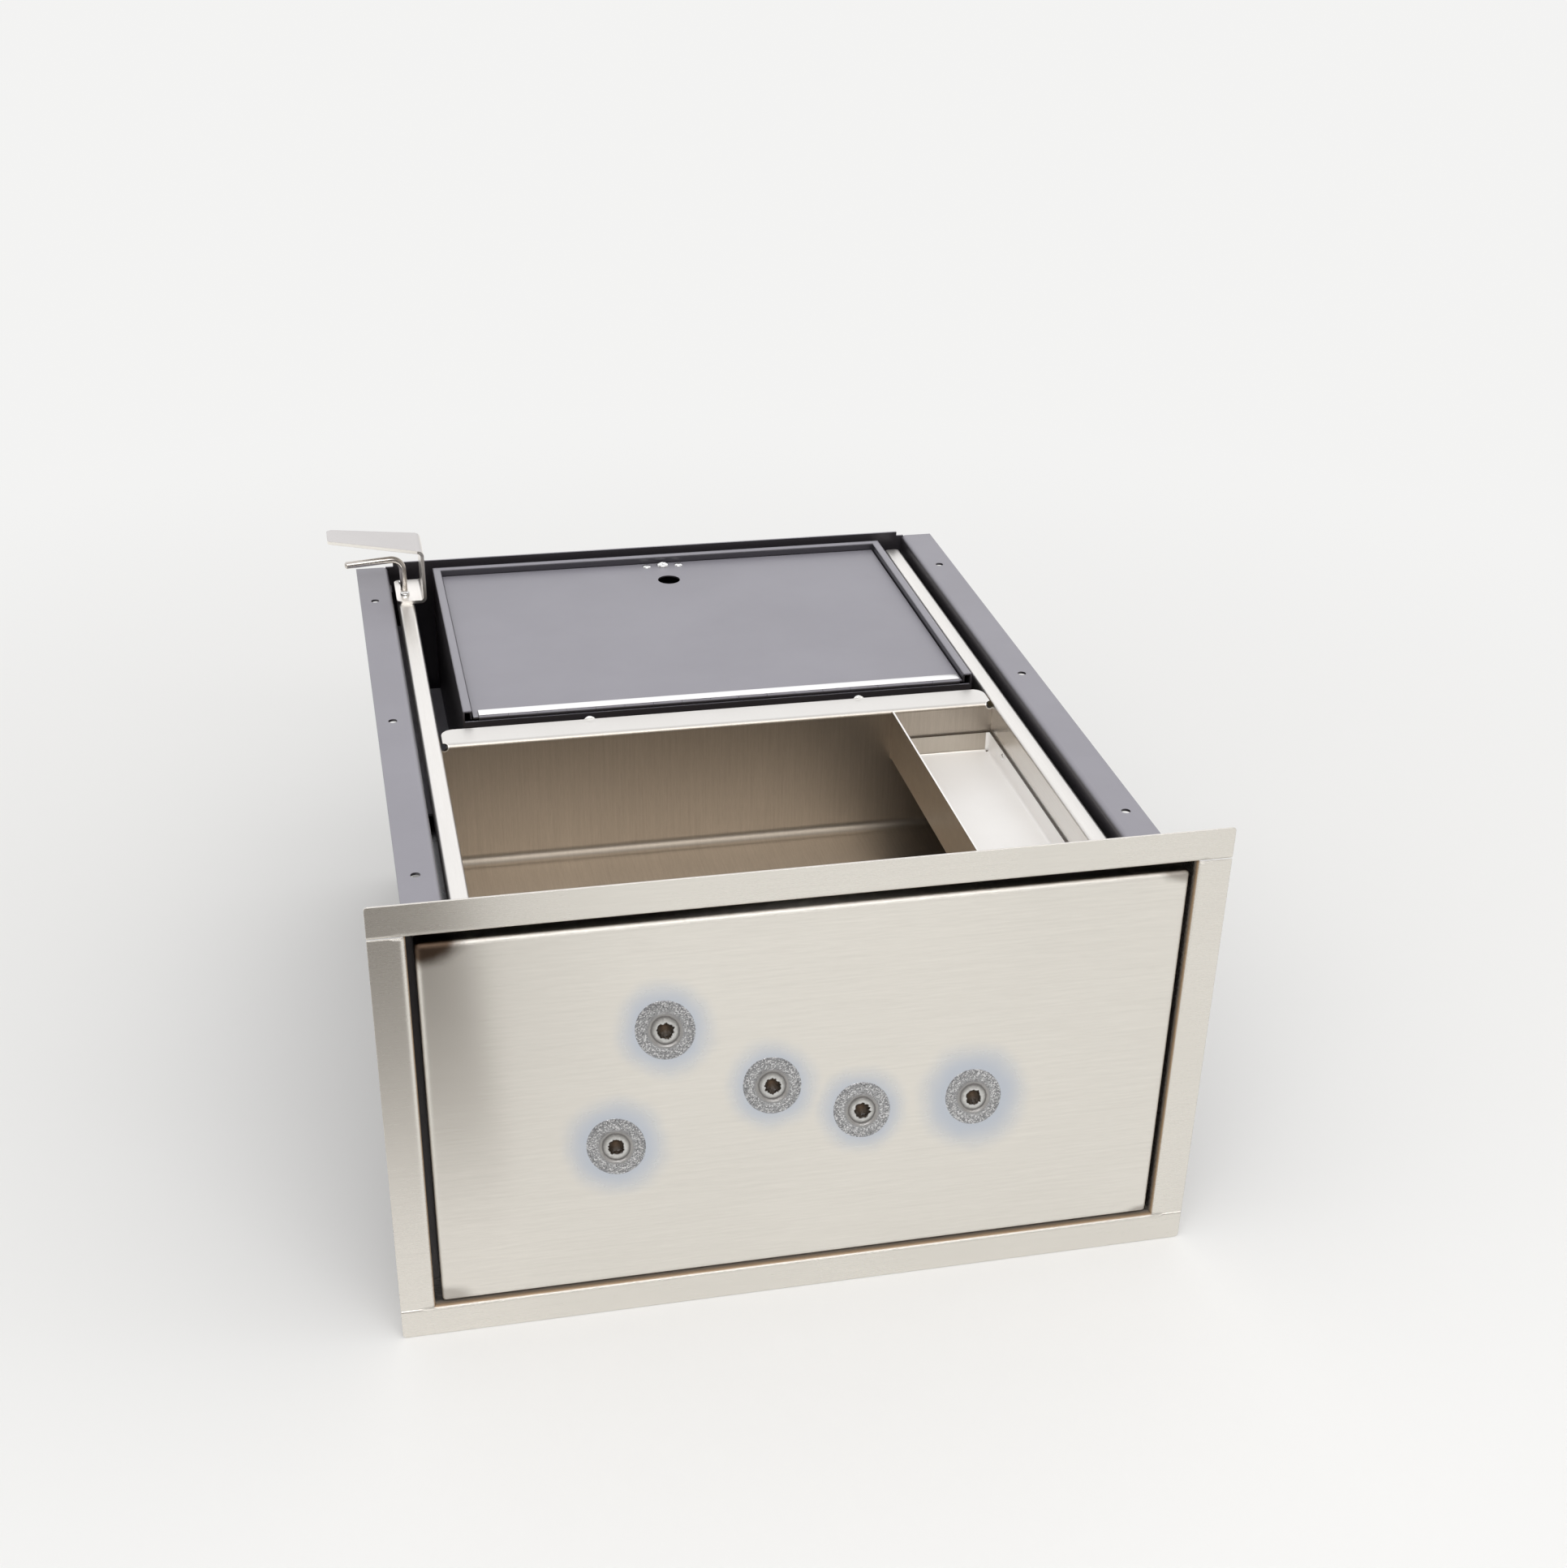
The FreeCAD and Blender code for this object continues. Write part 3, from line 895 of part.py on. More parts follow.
def build():
    """Every node of the part by name."""
    nodes = {}

    def pair(name, shape):
        nodes[name + "_right"] = shape
        nodes[name + "_left"] = mirrored(shape)

    nodes["face_flange_top"] = frame_strip_level(FRAME_H, open_z1)
    nodes["face_flange_bottom"] = frame_strip_level(0.0, open_z0)
    pair("face_flange", frame_strip_upright())
    nodes["mouth_collar"] = mouth_collar()
    pair("cabinet_side", cabinet_side())
    nodes["cabinet_side_left"] = drill(nodes["cabinet_side_left"], keeper_rivets, X_AXIS,
                                       RIVET_R + HOLE_FIT, 2 * CAB_T)
    nodes["cabinet_bottom"] = cabinet_bottom()
    nodes["cabinet_back"] = cabinet_back()
    nodes["cabinet_rivets"] = group(side_fasteners(shifted(bottom_tab_rivets + back_tab_rivets, CAB_T), 1,
                                                   RIVET_HEAD_R, RIVET_HEAD_H, RIVET_R, 2 * CAB_T))
    nodes["latch_keeper"] = keeper()
    nodes["latch_keeper_rivets"] = group([button(p - X_AXIS * CAB_T, X_AXIS * -1, RIVET_HEAD_R, RIVET_HEAD_H,
                                                 RIVET_R, CAB_T + KEEPER_T) for p in keeper_rivets])
    nodes["closing_bumpers"] = bumpers()
    pair("slide_outer", slide_outer())
    nodes["slide_outer_screws"] = group(side_fasteners(shifted(slide_screws, -SLIDE_T), -1, SCREW_HEAD_R,
                                                       SCREW_HEAD_H, SCREW_R, SLIDE_T + CAB_T + NUT_H))
    nuts = [hex_nut(p + X_AXIS * CAB_T, X_AXIS, NUT_AF, NUT_H, SCREW_R + HOLE_FIT / 2) for p in slide_screws]
    nodes["slide_outer_nuts"] = group(nuts + [mirrored(nut) for nut in nuts])
    pair("slide_middle", slide_middle())
    pair("slide_bearings", slide_bearings())
    pair("slide_inner", slide_inner())
    inner_spots = [V(drawer_half + SLIDE_T, y, slide_z) for y in screw_ys]
    nodes["slide_inner_rivets"] = group(side_fasteners(inner_spots, 1, SCREW_HEAD_R, SCREW_HEAD_H, SCREW_R,
                                                       SLIDE_T + DRAWER_T))

    nodes["front_skin"] = front_skin()
    nodes["front_armour_plate"] = front_armour()
    nodes["front_backing_board"] = drill(front_plate(board_y0, BOARD_T), front_bolt_spots, Y_AXIS,
                                         BOLT_R + HOLE_FIT, 2 * (BOARD_T + COVER_T))
    nodes["front_inner_cover"] = drill(front_plate(cover_y0, COVER_T), front_bolt_spots, Y_AXIS,
                                       BOLT_R + HOLE_FIT, 3 * COVER_T + DRAWER_T)
    nodes["front_bolts"] = front_bolts()
    nodes["drawer_side_right"] = drawer_side()
    nodes["drawer_side_left"] = drawer_side_left()
    nodes["drawer_bottom"] = drawer_bottom()
    nodes["drawer_back"] = drawer_back()
    nodes["cash_shelf"] = cash_shelf()
    nodes["drawer_rivets"] = group(side_fasteners(bottom_rivets + shelf_rivets, 1, RIVET_HEAD_R, RIVET_HEAD_H,
                                                  RIVET_R, 2 * DRAWER_T))
    nodes["tray_pan"] = tray_pan()
    nodes["coin_tray"] = coin_tray()
    nodes["coin_tray_rivets"] = group([button(p, X_AXIS * -1, 0.8 * RIVET_HEAD_R, 0.8 * RIVET_HEAD_H, RIVET_R,
                                              COIN_T + DRAWER_T) for p in coin_rivets])
    nodes["rear_baffle_core"] = baffle()
    nodes["baffle_bolts"] = group([button(p, Y_AXIS, BAFFLE_HEAD_R, BAFFLE_HEAD_H, BAFFLE_BOLT_R,
                                          BAFFLE_BOLT_LEN) for p in baffle_spots])
    nodes["cash_box"] = cash_box()
    nodes["cash_box_ends"] = cash_box_ends()
    nodes["cash_box_rim"] = cash_box_rim()
    nodes["cash_box_bolts"] = group([button(p, Z_AXIS, BOLT_HEAD_R, BOLT_HEAD_H, BOLT_R, box_bolt_len)
                                     for p in box_bolt_spots])
    nodes["hinge_box_leaf"] = hinge_box_leaf()
    nodes["magnetic_catch"] = magnetic_catch()
    nodes["handle_bracket"] = handle_bracket()
    top = rail_z + HANDLE_T
    nodes["handle_screws"] = group([button(V(x, y, top), Z_AXIS, PAN_HEAD_R, PAN_HEAD_H, PAN_R,
                                           HANDLE_T + DRAWER_T + PAN_NUT_H) for x, y in handle_screws])
    nodes["handle_nuts"] = group([hex_nut(V(x, y, rail_z - DRAWER_T), Z_AXIS * -1, PAN_NUT_AF, PAN_NUT_H,
                                          PAN_R + HOLE_FIT / 2) for x, y in handle_screws])
    nodes["latch_spring"] = latch_spring()
    nodes["latch_rod"] = latch_rod()
    nodes["latch_collar"] = latch_collar()

    nodes["lid_panel"] = lid_panel()
    nodes["hinge_lid_leaf"] = hinge_lid_leaf()
    nodes["hinge_pin"] = hinge_pin()
    nodes["lid_catch_plate"] = catch_plate()
    outer_spots = [catch_spots[0], catch_spots[2]]
    grip = LID_T + CATCH_T
    nodes["lid_catch_rivets"] = group([button(p, Z_AXIS, RIVET_HEAD_R, 0.8 * RIVET_HEAD_H, RIVET_R, grip)
                                       for p in outer_spots])
    nodes["lid_catch_screw"] = button(catch_spots[1], Z_AXIS, CATCH_HEAD_R, CATCH_HEAD_H, RIVET_R, grip)
    return nodes


os.makedirs("parts", exist_ok=True)
for name, shape in build().items():
    shape.translate(V(0, -DEPTH / 2, 0))
    shape.exportStep("parts/" + name + ".step")
    print(name, len(shape.Solids), "solids", round(shape.Volume), shape.isValid())
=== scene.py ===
# %% [markdown]
# # A bank teller's deposit drawer, dressed in Blender
#
# The drawer's solids come from the CAD model, already in their places and tied to the bodies
# that move.  This lesson gives every solid its finish and models the details that a plain
# solid lacks.  Each step says what the real thing is, how it could be made, and why it is
# made this way here.

# %% Load the frame
import math

import bmesh
import bpy
from mathutils import Matrix, Vector


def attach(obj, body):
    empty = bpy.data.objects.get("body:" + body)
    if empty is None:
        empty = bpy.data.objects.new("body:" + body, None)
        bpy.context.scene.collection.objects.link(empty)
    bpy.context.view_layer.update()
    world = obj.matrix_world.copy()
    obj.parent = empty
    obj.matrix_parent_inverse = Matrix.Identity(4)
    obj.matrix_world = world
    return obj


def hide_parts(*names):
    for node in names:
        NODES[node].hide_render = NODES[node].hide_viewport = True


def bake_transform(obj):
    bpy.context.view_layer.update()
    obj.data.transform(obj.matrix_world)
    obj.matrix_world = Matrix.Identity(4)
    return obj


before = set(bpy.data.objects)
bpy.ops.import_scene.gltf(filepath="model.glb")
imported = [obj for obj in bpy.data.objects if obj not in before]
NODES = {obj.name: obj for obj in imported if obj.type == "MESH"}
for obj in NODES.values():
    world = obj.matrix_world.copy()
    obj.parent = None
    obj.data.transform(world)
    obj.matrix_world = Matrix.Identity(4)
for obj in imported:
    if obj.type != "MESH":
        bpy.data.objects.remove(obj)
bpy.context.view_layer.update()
MM = 0.001
SCENE = bpy.context.scene

# %% [markdown]
# ## The camera
#
# The drawer is seen from the customer's side, a little from the left and from well above,
# so that the armoured front, the open deal tray and the cash lid all show.  A camera could
# be aimed with a Track To constraint.  Here its own three axes are written down, because the
# view leans by about a degree and a constraint would level it.  The small upward shift keeps
# the upright edges from falling over, as the shift lens of a product photographer does.

# %% Camera
PICTURE_SIDE, FOCAL_PIXELS, RISE_PIXELS = 1932, 2630.1, 150.0
VIEW_FROM = Vector((-0.3095, -1.5736, 1.0856))
VIEW_RIGHT = Vector((0.97614, -0.21626, 0.01951)).normalized()
VIEW_FORWARD = Vector((0.19583, 0.83796, -0.50939)).normalized()


def place_camera():
    """The product view: a lens of about 49 mm with a small shift."""
    data = bpy.data.cameras.new("product_view")
    data.sensor_fit = "AUTO"
    data.sensor_width = 36.0
    data.lens = data.sensor_width * FOCAL_PIXELS / PICTURE_SIDE
    data.shift_y = RISE_PIXELS / PICTURE_SIDE
    data.clip_start, data.clip_end = 0.05, 60.0
    camera = bpy.data.objects.new("product_view", data)
    up = VIEW_RIGHT.cross(VIEW_FORWARD)
    axes = Matrix((VIEW_RIGHT, up, -VIEW_FORWARD)).transposed().to_4x4()
    camera.matrix_world = Matrix.Translation(VIEW_FROM) @ axes
    SCENE.collection.objects.link(camera)
    SCENE.camera = camera
    return data


lens = place_camera()
print("camera lens", round(lens.lens, 2), "mm, shift", round(lens.shift_y, 3))

# %% [markdown]
# ## Helpers that build node trees
#
# Materials and Geometry Nodes are both trees of nodes with links between their sockets.
# They can be clicked together by hand.  In a script, a few short helpers keep each tree
# readable: one feeds a node's sockets, one adds a node, and the rest are the sums, ranges
# and noise that every tree below uses.  Those find their tree from a socket they are given.

# %% Helpers: nodes and numbers
def feed(node, inputs):
    """Give a node's sockets, by name or number, their values or links."""
    for key, value in inputs.items():
        if isinstance(value, bpy.types.NodeSocket):
            node.id_data.links.new(value, node.inputs[key])
        else:
            node.inputs[key].default_value = value


def add(tree, kind, inputs=None, **settings):
    """A new node with its settings and inputs."""
    made = tree.nodes.new(kind)
    for key, value in settings.items():
        setattr(made, key, value)
    feed(made, inputs or {})
    return made


def tree_of(*values):
    """The tree that the first socket among some values belongs to."""
    return next(value.id_data for value in values if isinstance(value, bpy.types.NodeSocket))


def math_node(operation, a, b=0.0, c=0.0, clamp=False):
    """The result of one sum on values or sockets."""
    return add(tree_of(a, b, c), "ShaderNodeMath", {0: a, 1: b, 2: c}, operation=operation, use_clamp=clamp).outputs[0]


def times(a, *others):
    """Values multiplied with each other."""
    for b in others:
        a = math_node("MULTIPLY", a, b)
    return a


def spread(value, low, high, to_low=0.0, to_high=1.0, smooth=True):
    """A value brought from one range to another, held at both ends."""
    made = add(value.id_data, "ShaderNodeMapRange", {0: value, 1: low, 2: high, 3: to_low, 4: to_high})
    made.interpolation_type = "SMOOTHSTEP" if smooth else "LINEAR"
    return made.outputs[0]


def noise(place, scale, detail, roughness=0.5, distortion=0.0):
    """Soft noise from 0 to 1, read at a place."""
    return add(place.id_data, "ShaderNodeTexNoise", {"Vector": place, "Scale": scale, "Detail": detail,
                                                     "Roughness": roughness, "Distortion": distortion}).outputs[0]


def swing(*how):
    """Noise about zero, which pushes as often one way as the other."""
    return math_node("SUBTRACT", noise(*how), 0.5)


print("number helpers:", add.__name__, math_node.__name__, times.__name__, spread.__name__, noise.__name__)

# %% [markdown]
# Places and colours are vectors, and have sums of their own.  A colour is written the way a
# screen shows it, 0 to 255, and `rgb` turns it into the linear light that shaders reckon in.

# %% Helpers: vectors and colours
def vector_node(operation, a, b=(0, 0, 0), scale=1.0):
    """The result of one sum on vectors: a number for lengths and products, else a vector."""
    made = add(tree_of(a, b), "ShaderNodeVectorMath", {0: a, 1: b, 3: scale}, operation=operation)
    return made.outputs["Value" if operation in ("LENGTH", "DISTANCE", "DOT_PRODUCT") else "Vector"]


def parts_of(vector):
    """The x, y and z of a vector."""
    return add(vector.id_data, "ShaderNodeSeparateXYZ", {0: vector}).outputs


def vector_of(x=0.0, y=0.0, z=0.0):
    """A vector of three numbers."""
    return add(tree_of(x, y, z), "ShaderNodeCombineXYZ", {0: x, 1: y, 2: z}).outputs[0]


def blend_colours(factor, a, b):
    """Two colours mixed by a factor."""
    return add(tree_of(factor, a, b), "ShaderNodeMix", {0: factor, 6: a, 7: b}, data_type="RGBA").outputs[2]


def rgb(r, g, b):
    """A colour given as 0 to 255 on screen, in the linear values that a shader wants."""
    shares = [value / 255 for value in (r, g, b)]
    return (*(share / 12.92 if share <= 0.04045 else ((share + 0.055) / 1.055) ** 2.4 for share in shares), 1.0)


print("mid grey on screen is", round(rgb(128, 128, 128)[0], 3), "in linear light")

# %% [markdown]
# An effect that several materials share is a node group: a tree of its own with named
# sockets, built once and placed wherever it is wanted, with other values each time.  Every
# material starts in one way too: a Principled shader, and the object's own coordinates, so
# that a pattern stays on its piece when the piece moves.

# %% Helpers: groups and materials
def new_group(name, tree_type, inputs, outputs):
    """An empty node group; a socket is given by its default, or by its kind where it has none."""
    tree = bpy.data.node_groups.new(name, tree_type)
    for label, default in inputs.items():
        kind = {int: "Int", float: "Float", str: default}.get(type(default)) or {3: "Vector", 4: "Color"}[len(default)]
        made = tree.interface.new_socket(label, in_out="INPUT", socket_type="NodeSocket" + kind)
        if kind != default:
            made.default_value = default
    for label, kind in outputs.items():
        tree.interface.new_socket(label, in_out="OUTPUT", socket_type="NodeSocket" + kind)
    return tree, tree.nodes.new("NodeGroupInput").outputs, tree.nodes.new("NodeGroupOutput")


def place_group(tree, group, inputs):
    """The outputs of a group that is placed in a material."""
    return add(tree, "ShaderNodeGroup", inputs, node_tree=group).outputs


def new_material(name):
    """A material, its tree, its shader and its object coordinates."""
    material = bpy.data.materials.new(name)
    material.use_nodes = True
    tree = material.node_tree
    return material, tree, tree.nodes["Principled BSDF"], add(tree, "ShaderNodeTexCoord").outputs["Object"]


print("group and material helpers:", new_group.__name__, place_group.__name__, new_material.__name__)

# %% [markdown]
# ## Floor and studio
#
# A plain pale floor carries the drawer's shadow.  Brushed steel shows mostly what is round
# it, so the studio matters more than the steel's own colour: the upright faces mirror the
# floor in front.  To mirror-like surfaces alone, the floor is therefore a little warmer, dims
# with distance, glows by itself for the larger part, and has a band of shade at the left,
# where the camera stand would be.  To the camera alone, it fades into the backdrop's tone, so
# that no horizon shows from a low place.

# %% The floor's tones
SCENE.view_settings.view_transform = "Standard"
BLACK, BACKDROP, FLOOR_TONE = (0, 0, 0, 1), (0.90, 0.898, 0.89, 1), (0.90, 0.897, 0.89, 1)
MIRRORED_NEAR, MIRRORED_FAR, MIRRORED_LIT = (1.0, 0.985, 0.95, 1), (0.14, 0.122, 0.105, 1), (0.965, 0.955, 0.92, 1)
GLOW = 0.65     # how much of the mirrored floor shines by itself


def mirrored_floor(spot):
    """What steel sees of the floor: it dims to the front, except right and left of a dark band."""
    shade = blend_colours(spread(spot[1], -0.46, -0.86), MIRRORED_NEAR, MIRRORED_FAR)
    step = times(spread(spot[0], -0.218, -0.188), 0.8)
    right = math_node("MULTIPLY_ADD", spread(spot[0], -0.20, -0.02), 0.2, step)
    lit = math_node("MAXIMUM", right, spread(spot[0], -0.36, -0.46))
    return blend_colours(lit, shade, MIRRORED_LIT)


print("view transform", SCENE.view_settings.view_transform)

# %% [markdown]
# The floor is one square of four corners.  It could be a ready-made plane; what matters is
# its material, in which the Light Path node tells who looks.

# %% Lay the floor
def floor_material():
    """A matt floor whose tone depends on who looks: the camera, steel, or plain light."""
    material, tree, shader, place = new_material("pale_floor")
    path = add(tree, "ShaderNodeLightPath").outputs
    mirrored = mirrored_floor(parts_of(place))
    matt, glow = (blend_colours(share, mirrored, BLACK) for share in (GLOW, 1.0 - GLOW))
    feed(shader, {"Base Color": blend_colours(path["Is Glossy Ray"], FLOOR_TONE, matt),
                  "Emission Color": blend_colours(path["Is Glossy Ray"], BLACK, glow),
                  "Emission Strength": 1.0, "Roughness": 0.9, "Specular IOR Level": 0.0})
    far = times(spread(vector_node("LENGTH", place), 0.5, 1.8), path["Is Camera Ray"])
    sweep = add(tree, "ShaderNodeEmission", {"Color": BACKDROP})
    faded = add(tree, "ShaderNodeMixShader", {0: far, 1: shader.outputs[0], 2: sweep.outputs[0]}).outputs[0]
    feed(tree.nodes["Material Output"], {"Surface": faded})
    return material


def lay_floor(reach=14.0, below=0.0005):
    """A large square just under the lowest point of the frame."""
    mesh = bpy.data.meshes.new("studio_floor")
    corners = [(x * reach, y * reach, 0) for x, y in ((-1, -1), (1, -1), (1, 1), (-1, 1))]
    mesh.from_pydata(corners, [], [(0, 1, 2, 3)])
    mesh.materials.append(floor_material())
    floor = bpy.data.objects.new("studio_floor", mesh)
    floor.location.z = -below
    SCENE.collection.objects.link(floor)
    return floor


print("floor laid:", lay_floor().name)

# %% [markdown]
# A picture of a studio could be wrapped round the scene.  Here the world is one plain tone
# that lights everything evenly.  Only steel sees more in it: a pale wall behind the drawer,
# a dim room in front, and a window high up in that room, which draws the bright line along
# every bend.

# %% World
ROOM, WINDOW, WALL = (0.15, 0.125, 0.10, 1), (1.35, 1.34, 1.30, 1), (0.93, 0.925, 0.93, 1)
EVEN_LIGHT = (0.74, 0.737, 0.73, 1)


def fill_world():
    """Even light all round, with a room for glossy rays and the backdrop's tone for the camera."""
    world = bpy.data.worlds.new("studio")
    SCENE.world = world
    world.use_nodes = True
    tree = world.node_tree
    tree.nodes.clear()
    path = add(tree, "ShaderNodeLightPath").outputs
    towards = parts_of(add(tree, "ShaderNodeTexCoord").outputs["Generated"])
    window = times(spread(towards[2], 0.30, 0.55), spread(towards[1], -0.30, -0.45))
    room = blend_colours(window, ROOM, WINDOW)
    mirrored = blend_colours(spread(towards[1], -0.45, 0.30), room, WALL)
    tone = blend_colours(path["Is Glossy Ray"], EVEN_LIGHT, mirrored)
    seen = math_node("MAXIMUM", path["Is Camera Ray"], path["Is Transmission Ray"])
    tone = blend_colours(seen, tone, BACKDROP)
    background = add(tree, "ShaderNodeBackground", {"Color": tone, "Strength": 1.0})
    tree.links.new(background.outputs[0], add(tree, "ShaderNodeOutputWorld").inputs[0])
    return world


print("world:", fill_world().name)

# %% [markdown]
# Four large soft lamps stand where a studio's soft boxes would: behind, above, to the right,
# and a long narrow one over the front for the upper edges.  An area lamp's energy is in
# watts, which says little, so the helper works it out from how bright its face should look.

# %% Lamps
def soft_box(name, place, aim, width, height, radiance):
    """A large area lamp that faces its aim; radiance is how bright its face looks."""
    data = bpy.data.lights.new(name, "AREA")
    data.shape = "RECTANGLE"
    data.size, data.size_y = width, height
    data.energy = radiance * 4 * width * height
    lamp = bpy.data.objects.new(name, data)
    lamp.location = place
    lamp.rotation_euler = (Vector(aim) - Vector(place)).to_track_quat("-Z", "Y").to_euler()
    SCENE.collection.objects.link(lamp)
    print(name, round(data.energy, 1), "W")


MIDDLE = (0.0, 0.0, 0.2)
soft_box("back_box", (0.75, 3.1, 2.05), MIDDLE, 4.2, 2.4, 0.22)
soft_box("top_box", (-0.2, -1.7, 2.5), (0.0, -0.45, 0.0), 3.0, 3.0, 0.45)
soft_box("edge_box", (-0.2, -2.3, 2.25), (0.0, -0.35, 0.3), 3.4, 0.5, 2.6)
soft_box("right_box", (2.9, -0.6, 1.7), MIDDLE, 1.8, 1.8, 0.5)

# %% [markdown]
# ## Brushed steel
#
# Stainless sheet leaves the mill with a brushed finish: long fine scratches, all one way,
# because an abrasive belt ran along the sheet.  A photo of steel would repeat and could not
# follow each part.  Noise that is stretched along one axis makes scratches anywhere, so one
# shared group holds the effect, and each material turns it to the way its sheet was cut.

# %% Group: brushed grain
def brushed_group():
    """Stretched noise as tone, roughness and height."""
    tree, get, end = new_group(
        "Brushed grain", "ShaderNodeTree",
        {"Vector": "Vector", "Pale": (0.8, 0.8, 0.8, 1), "Deep": (0.5, 0.5, 0.5, 1), "Roughness": 0.3, "Contrast": 1.0},
        {"Colour": "Color", "Roughness": "Float", "Height": "Float"})
    broad, fine = noise(get["Vector"], 0.35, 5.0, 0.65), noise(get["Vector"], 2.6, 4.0, 0.7)
    streak = math_node("ADD", times(broad, 0.4), times(fine, 0.6))
    off = math_node("SUBTRACT", streak, 0.5)
    share = math_node("MULTIPLY_ADD", off, times(get["Contrast"], 2.6), 0.5, clamp=True)
    rough = math_node("MULTIPLY_ADD", off, times(get["Contrast"], -0.22), get["Roughness"], clamp=True)
    feed(end, {"Colour": blend_colours(share, get["Deep"], get["Pale"]), "Roughness": rough, "Height": streak})
    return tree


BRUSHED = brushed_group()
print("group", BRUSHED.name, "with", len(BRUSHED.nodes), "nodes")

# %% [markdown]
# Sheet metal is never perfectly clean or flat.  Hands, cloths and cleaning leave soft
# clouds in the shine.  The cloud group makes that slow change, and it is used on steel,
# paint and zinc alike, each with its own strength.

# %% Group: handling clouds
def cloud_group():
    """Slow unstretched noise that shifts a roughness and darkens a colour a little."""
    tree, get, end = new_group(
        "Handling clouds", "ShaderNodeTree",
        {"Vector": "Vector", "Colour": (0.5, 0.5, 0.5, 1), "Roughness": 0.3, "Size": 6.0, "Strength": 0.05},
        {"Colour": "Color", "Roughness": "Float"})
    lift = times(swing(get["Vector"], get["Size"], 3.0, 0.55, 0.4), get["Strength"])
    value = math_node("MULTIPLY_ADD", lift, 2.0, 1.0)
    toned = add(tree, "ShaderNodeHueSaturation", {"Color": get["Colour"], "Value": value}).outputs[0]
    feed(end, {"Colour": toned, "Roughness": math_node("ADD", get["Roughness"], lift, clamp=True)})
    return tree


CLOUDS = cloud_group()
print("group", CLOUDS.name, "with", len(CLOUDS.nodes), "nodes")

# %% [markdown]
# Every finish below ends the same way: clouds over its colour and roughness, and a normal.
# That last step is written once.  So is the rounding of edges: a cut sheet's edges are
# deburred, and a hair's breadth of rounding always catches the light.  It could be modelled
# with a bevel on every edge of every sheet.  The Bevel shader node rounds only the way light
# sees the edge, which is enough at half a millimetre.

# %% Helpers: finishes
def own_place(material):
    """The outputs of a material's own Texture Coordinate node."""
    return next(node for node in material.node_tree.nodes if node.bl_idname == "ShaderNodeTexCoord").outputs


def shader_of(material):
    """A material's Principled shader."""
    return material.node_tree.nodes["Principled BSDF"]


def fed_by(socket):
    """The socket at the other end of the link."""
    return socket.links[0].from_socket


def edge_normal(tree, radius):
    """The normal with every edge rounded by the radius."""
    return add(tree, "ShaderNodeBevel", {"Radius": radius}, samples=4).outputs[0]


def bump(height, strength, distance, normal):
    """The normal tilted by a height."""
    return add(height.id_data, "ShaderNodeBump", {"Height": height, "Strength": strength, "Distance": distance,
                                                  "Normal": normal}).outputs[0]


def clouded(tree, where, colour, roughness, size, strength, normal):
    """The last step of a finish: clouds over its colour and roughness, and its normal."""
    cloud = place_group(tree, CLOUDS, {"Vector": where, "Colour": colour, "Roughness": roughness, "Size": size,
                                       "Strength": strength})
    feed(tree.nodes["Principled BSDF"], {"Base Color": cloud["Colour"], "Roughness": cloud["Roughness"],
                                         "Normal": normal})


def recolour(material, mask, tone):
    """Lay one more tone over a material's colour, where the mask is 1."""
    shader = shader_of(material)
    feed(shader, {"Base Color": blend_colours(mask, fed_by(shader.inputs["Base Color"]), tone)})


print("finish helpers:", edge_normal.__name__, bump.__name__, clouded.__name__, recolour.__name__)

# %% [markdown]
# Scratches do one more thing: a lamp's reflection is drawn out across them into a band, as a
# street light is on a wet road.  Finer scratches won't show that.  The Anisotropic setting of
# the shader does, and its rotation turns the band upright.  Flat faces that are polished more,
# such as the tray's, stay at zero.

# %% Steel
STEEL_PALE, STEEL_DEEP = rgb(234, 231, 226), rgb(212, 208, 202)
GRAIN_ALONG = {"x": (40, 1300, 1300), "y": (1300, 40, 1300), "yz": (1900, 45, 45)}


def steel(name, grain, pale=STEEL_PALE, deep=STEEL_DEEP, roughness=0.27, contrast=1.0, edge=0.0005, anisotropy=0.0,
          depth=0.00002):
    """Brushed stainless with its grain along one axis."""
    material, tree, shader, where = new_material(name)
    stretched = add(tree, "ShaderNodeMapping", {"Vector": where, "Scale": GRAIN_ALONG[grain]}).outputs[0]
    brushed = place_group(tree, BRUSHED, {"Vector": stretched, "Pale": pale, "Deep": deep, "Roughness": roughness,
                                          "Contrast": contrast})
    normal = bump(brushed["Height"], 0.35, depth, edge_normal(tree, edge))
    clouded(tree, where, brushed["Colour"], brushed["Roughness"], 5.0, 0.05, normal)
    feed(shader, {"Metallic": 1.0, "Anisotropic": anisotropy, "Anisotropic Rotation": 0.25})
    return material


# The pieces are one stainless steel, but their tones are painted light and shade: the deal tray's and the coin tray's
# steel is painted darker and browner, as shade, and the pull handle's paler, as light.
FINISH = {
    "stainless_frame": steel("stainless_frame", "x", contrast=0.32, anisotropy=0.85, depth=0.000004),
    "stainless_rail": steel("stainless_rail", "y", rgb(236, 234, 231), rgb(220, 217, 213), 0.33, 0.6, 0.0012),
    "stainless_tray": steel("stainless_tray", "yz", rgb(192, 182, 170), rgb(166, 156, 144), 0.40, 0.8),
    "stainless_coin": steel("stainless_coin", "yz", rgb(200, 192, 181), rgb(182, 174, 163), 0.3, 0.6),
    "stainless_handle": steel("stainless_handle", "x", rgb(250, 247, 243), rgb(240, 236, 231), 0.30, 0.6),
}
print("steel finishes:", ", ".join(FINISH))

# %% [markdown]
# Round the mouth the frame's sheet is bent inward, with a wider curve than at its cut edges.
# A second material would show a seam there.  Instead the bevel's radius follows the distance
# from the mouth.  Just inside, the bent sheet is in the shade of the front and shows a brown
# reflection of it, which is laid over the colour.

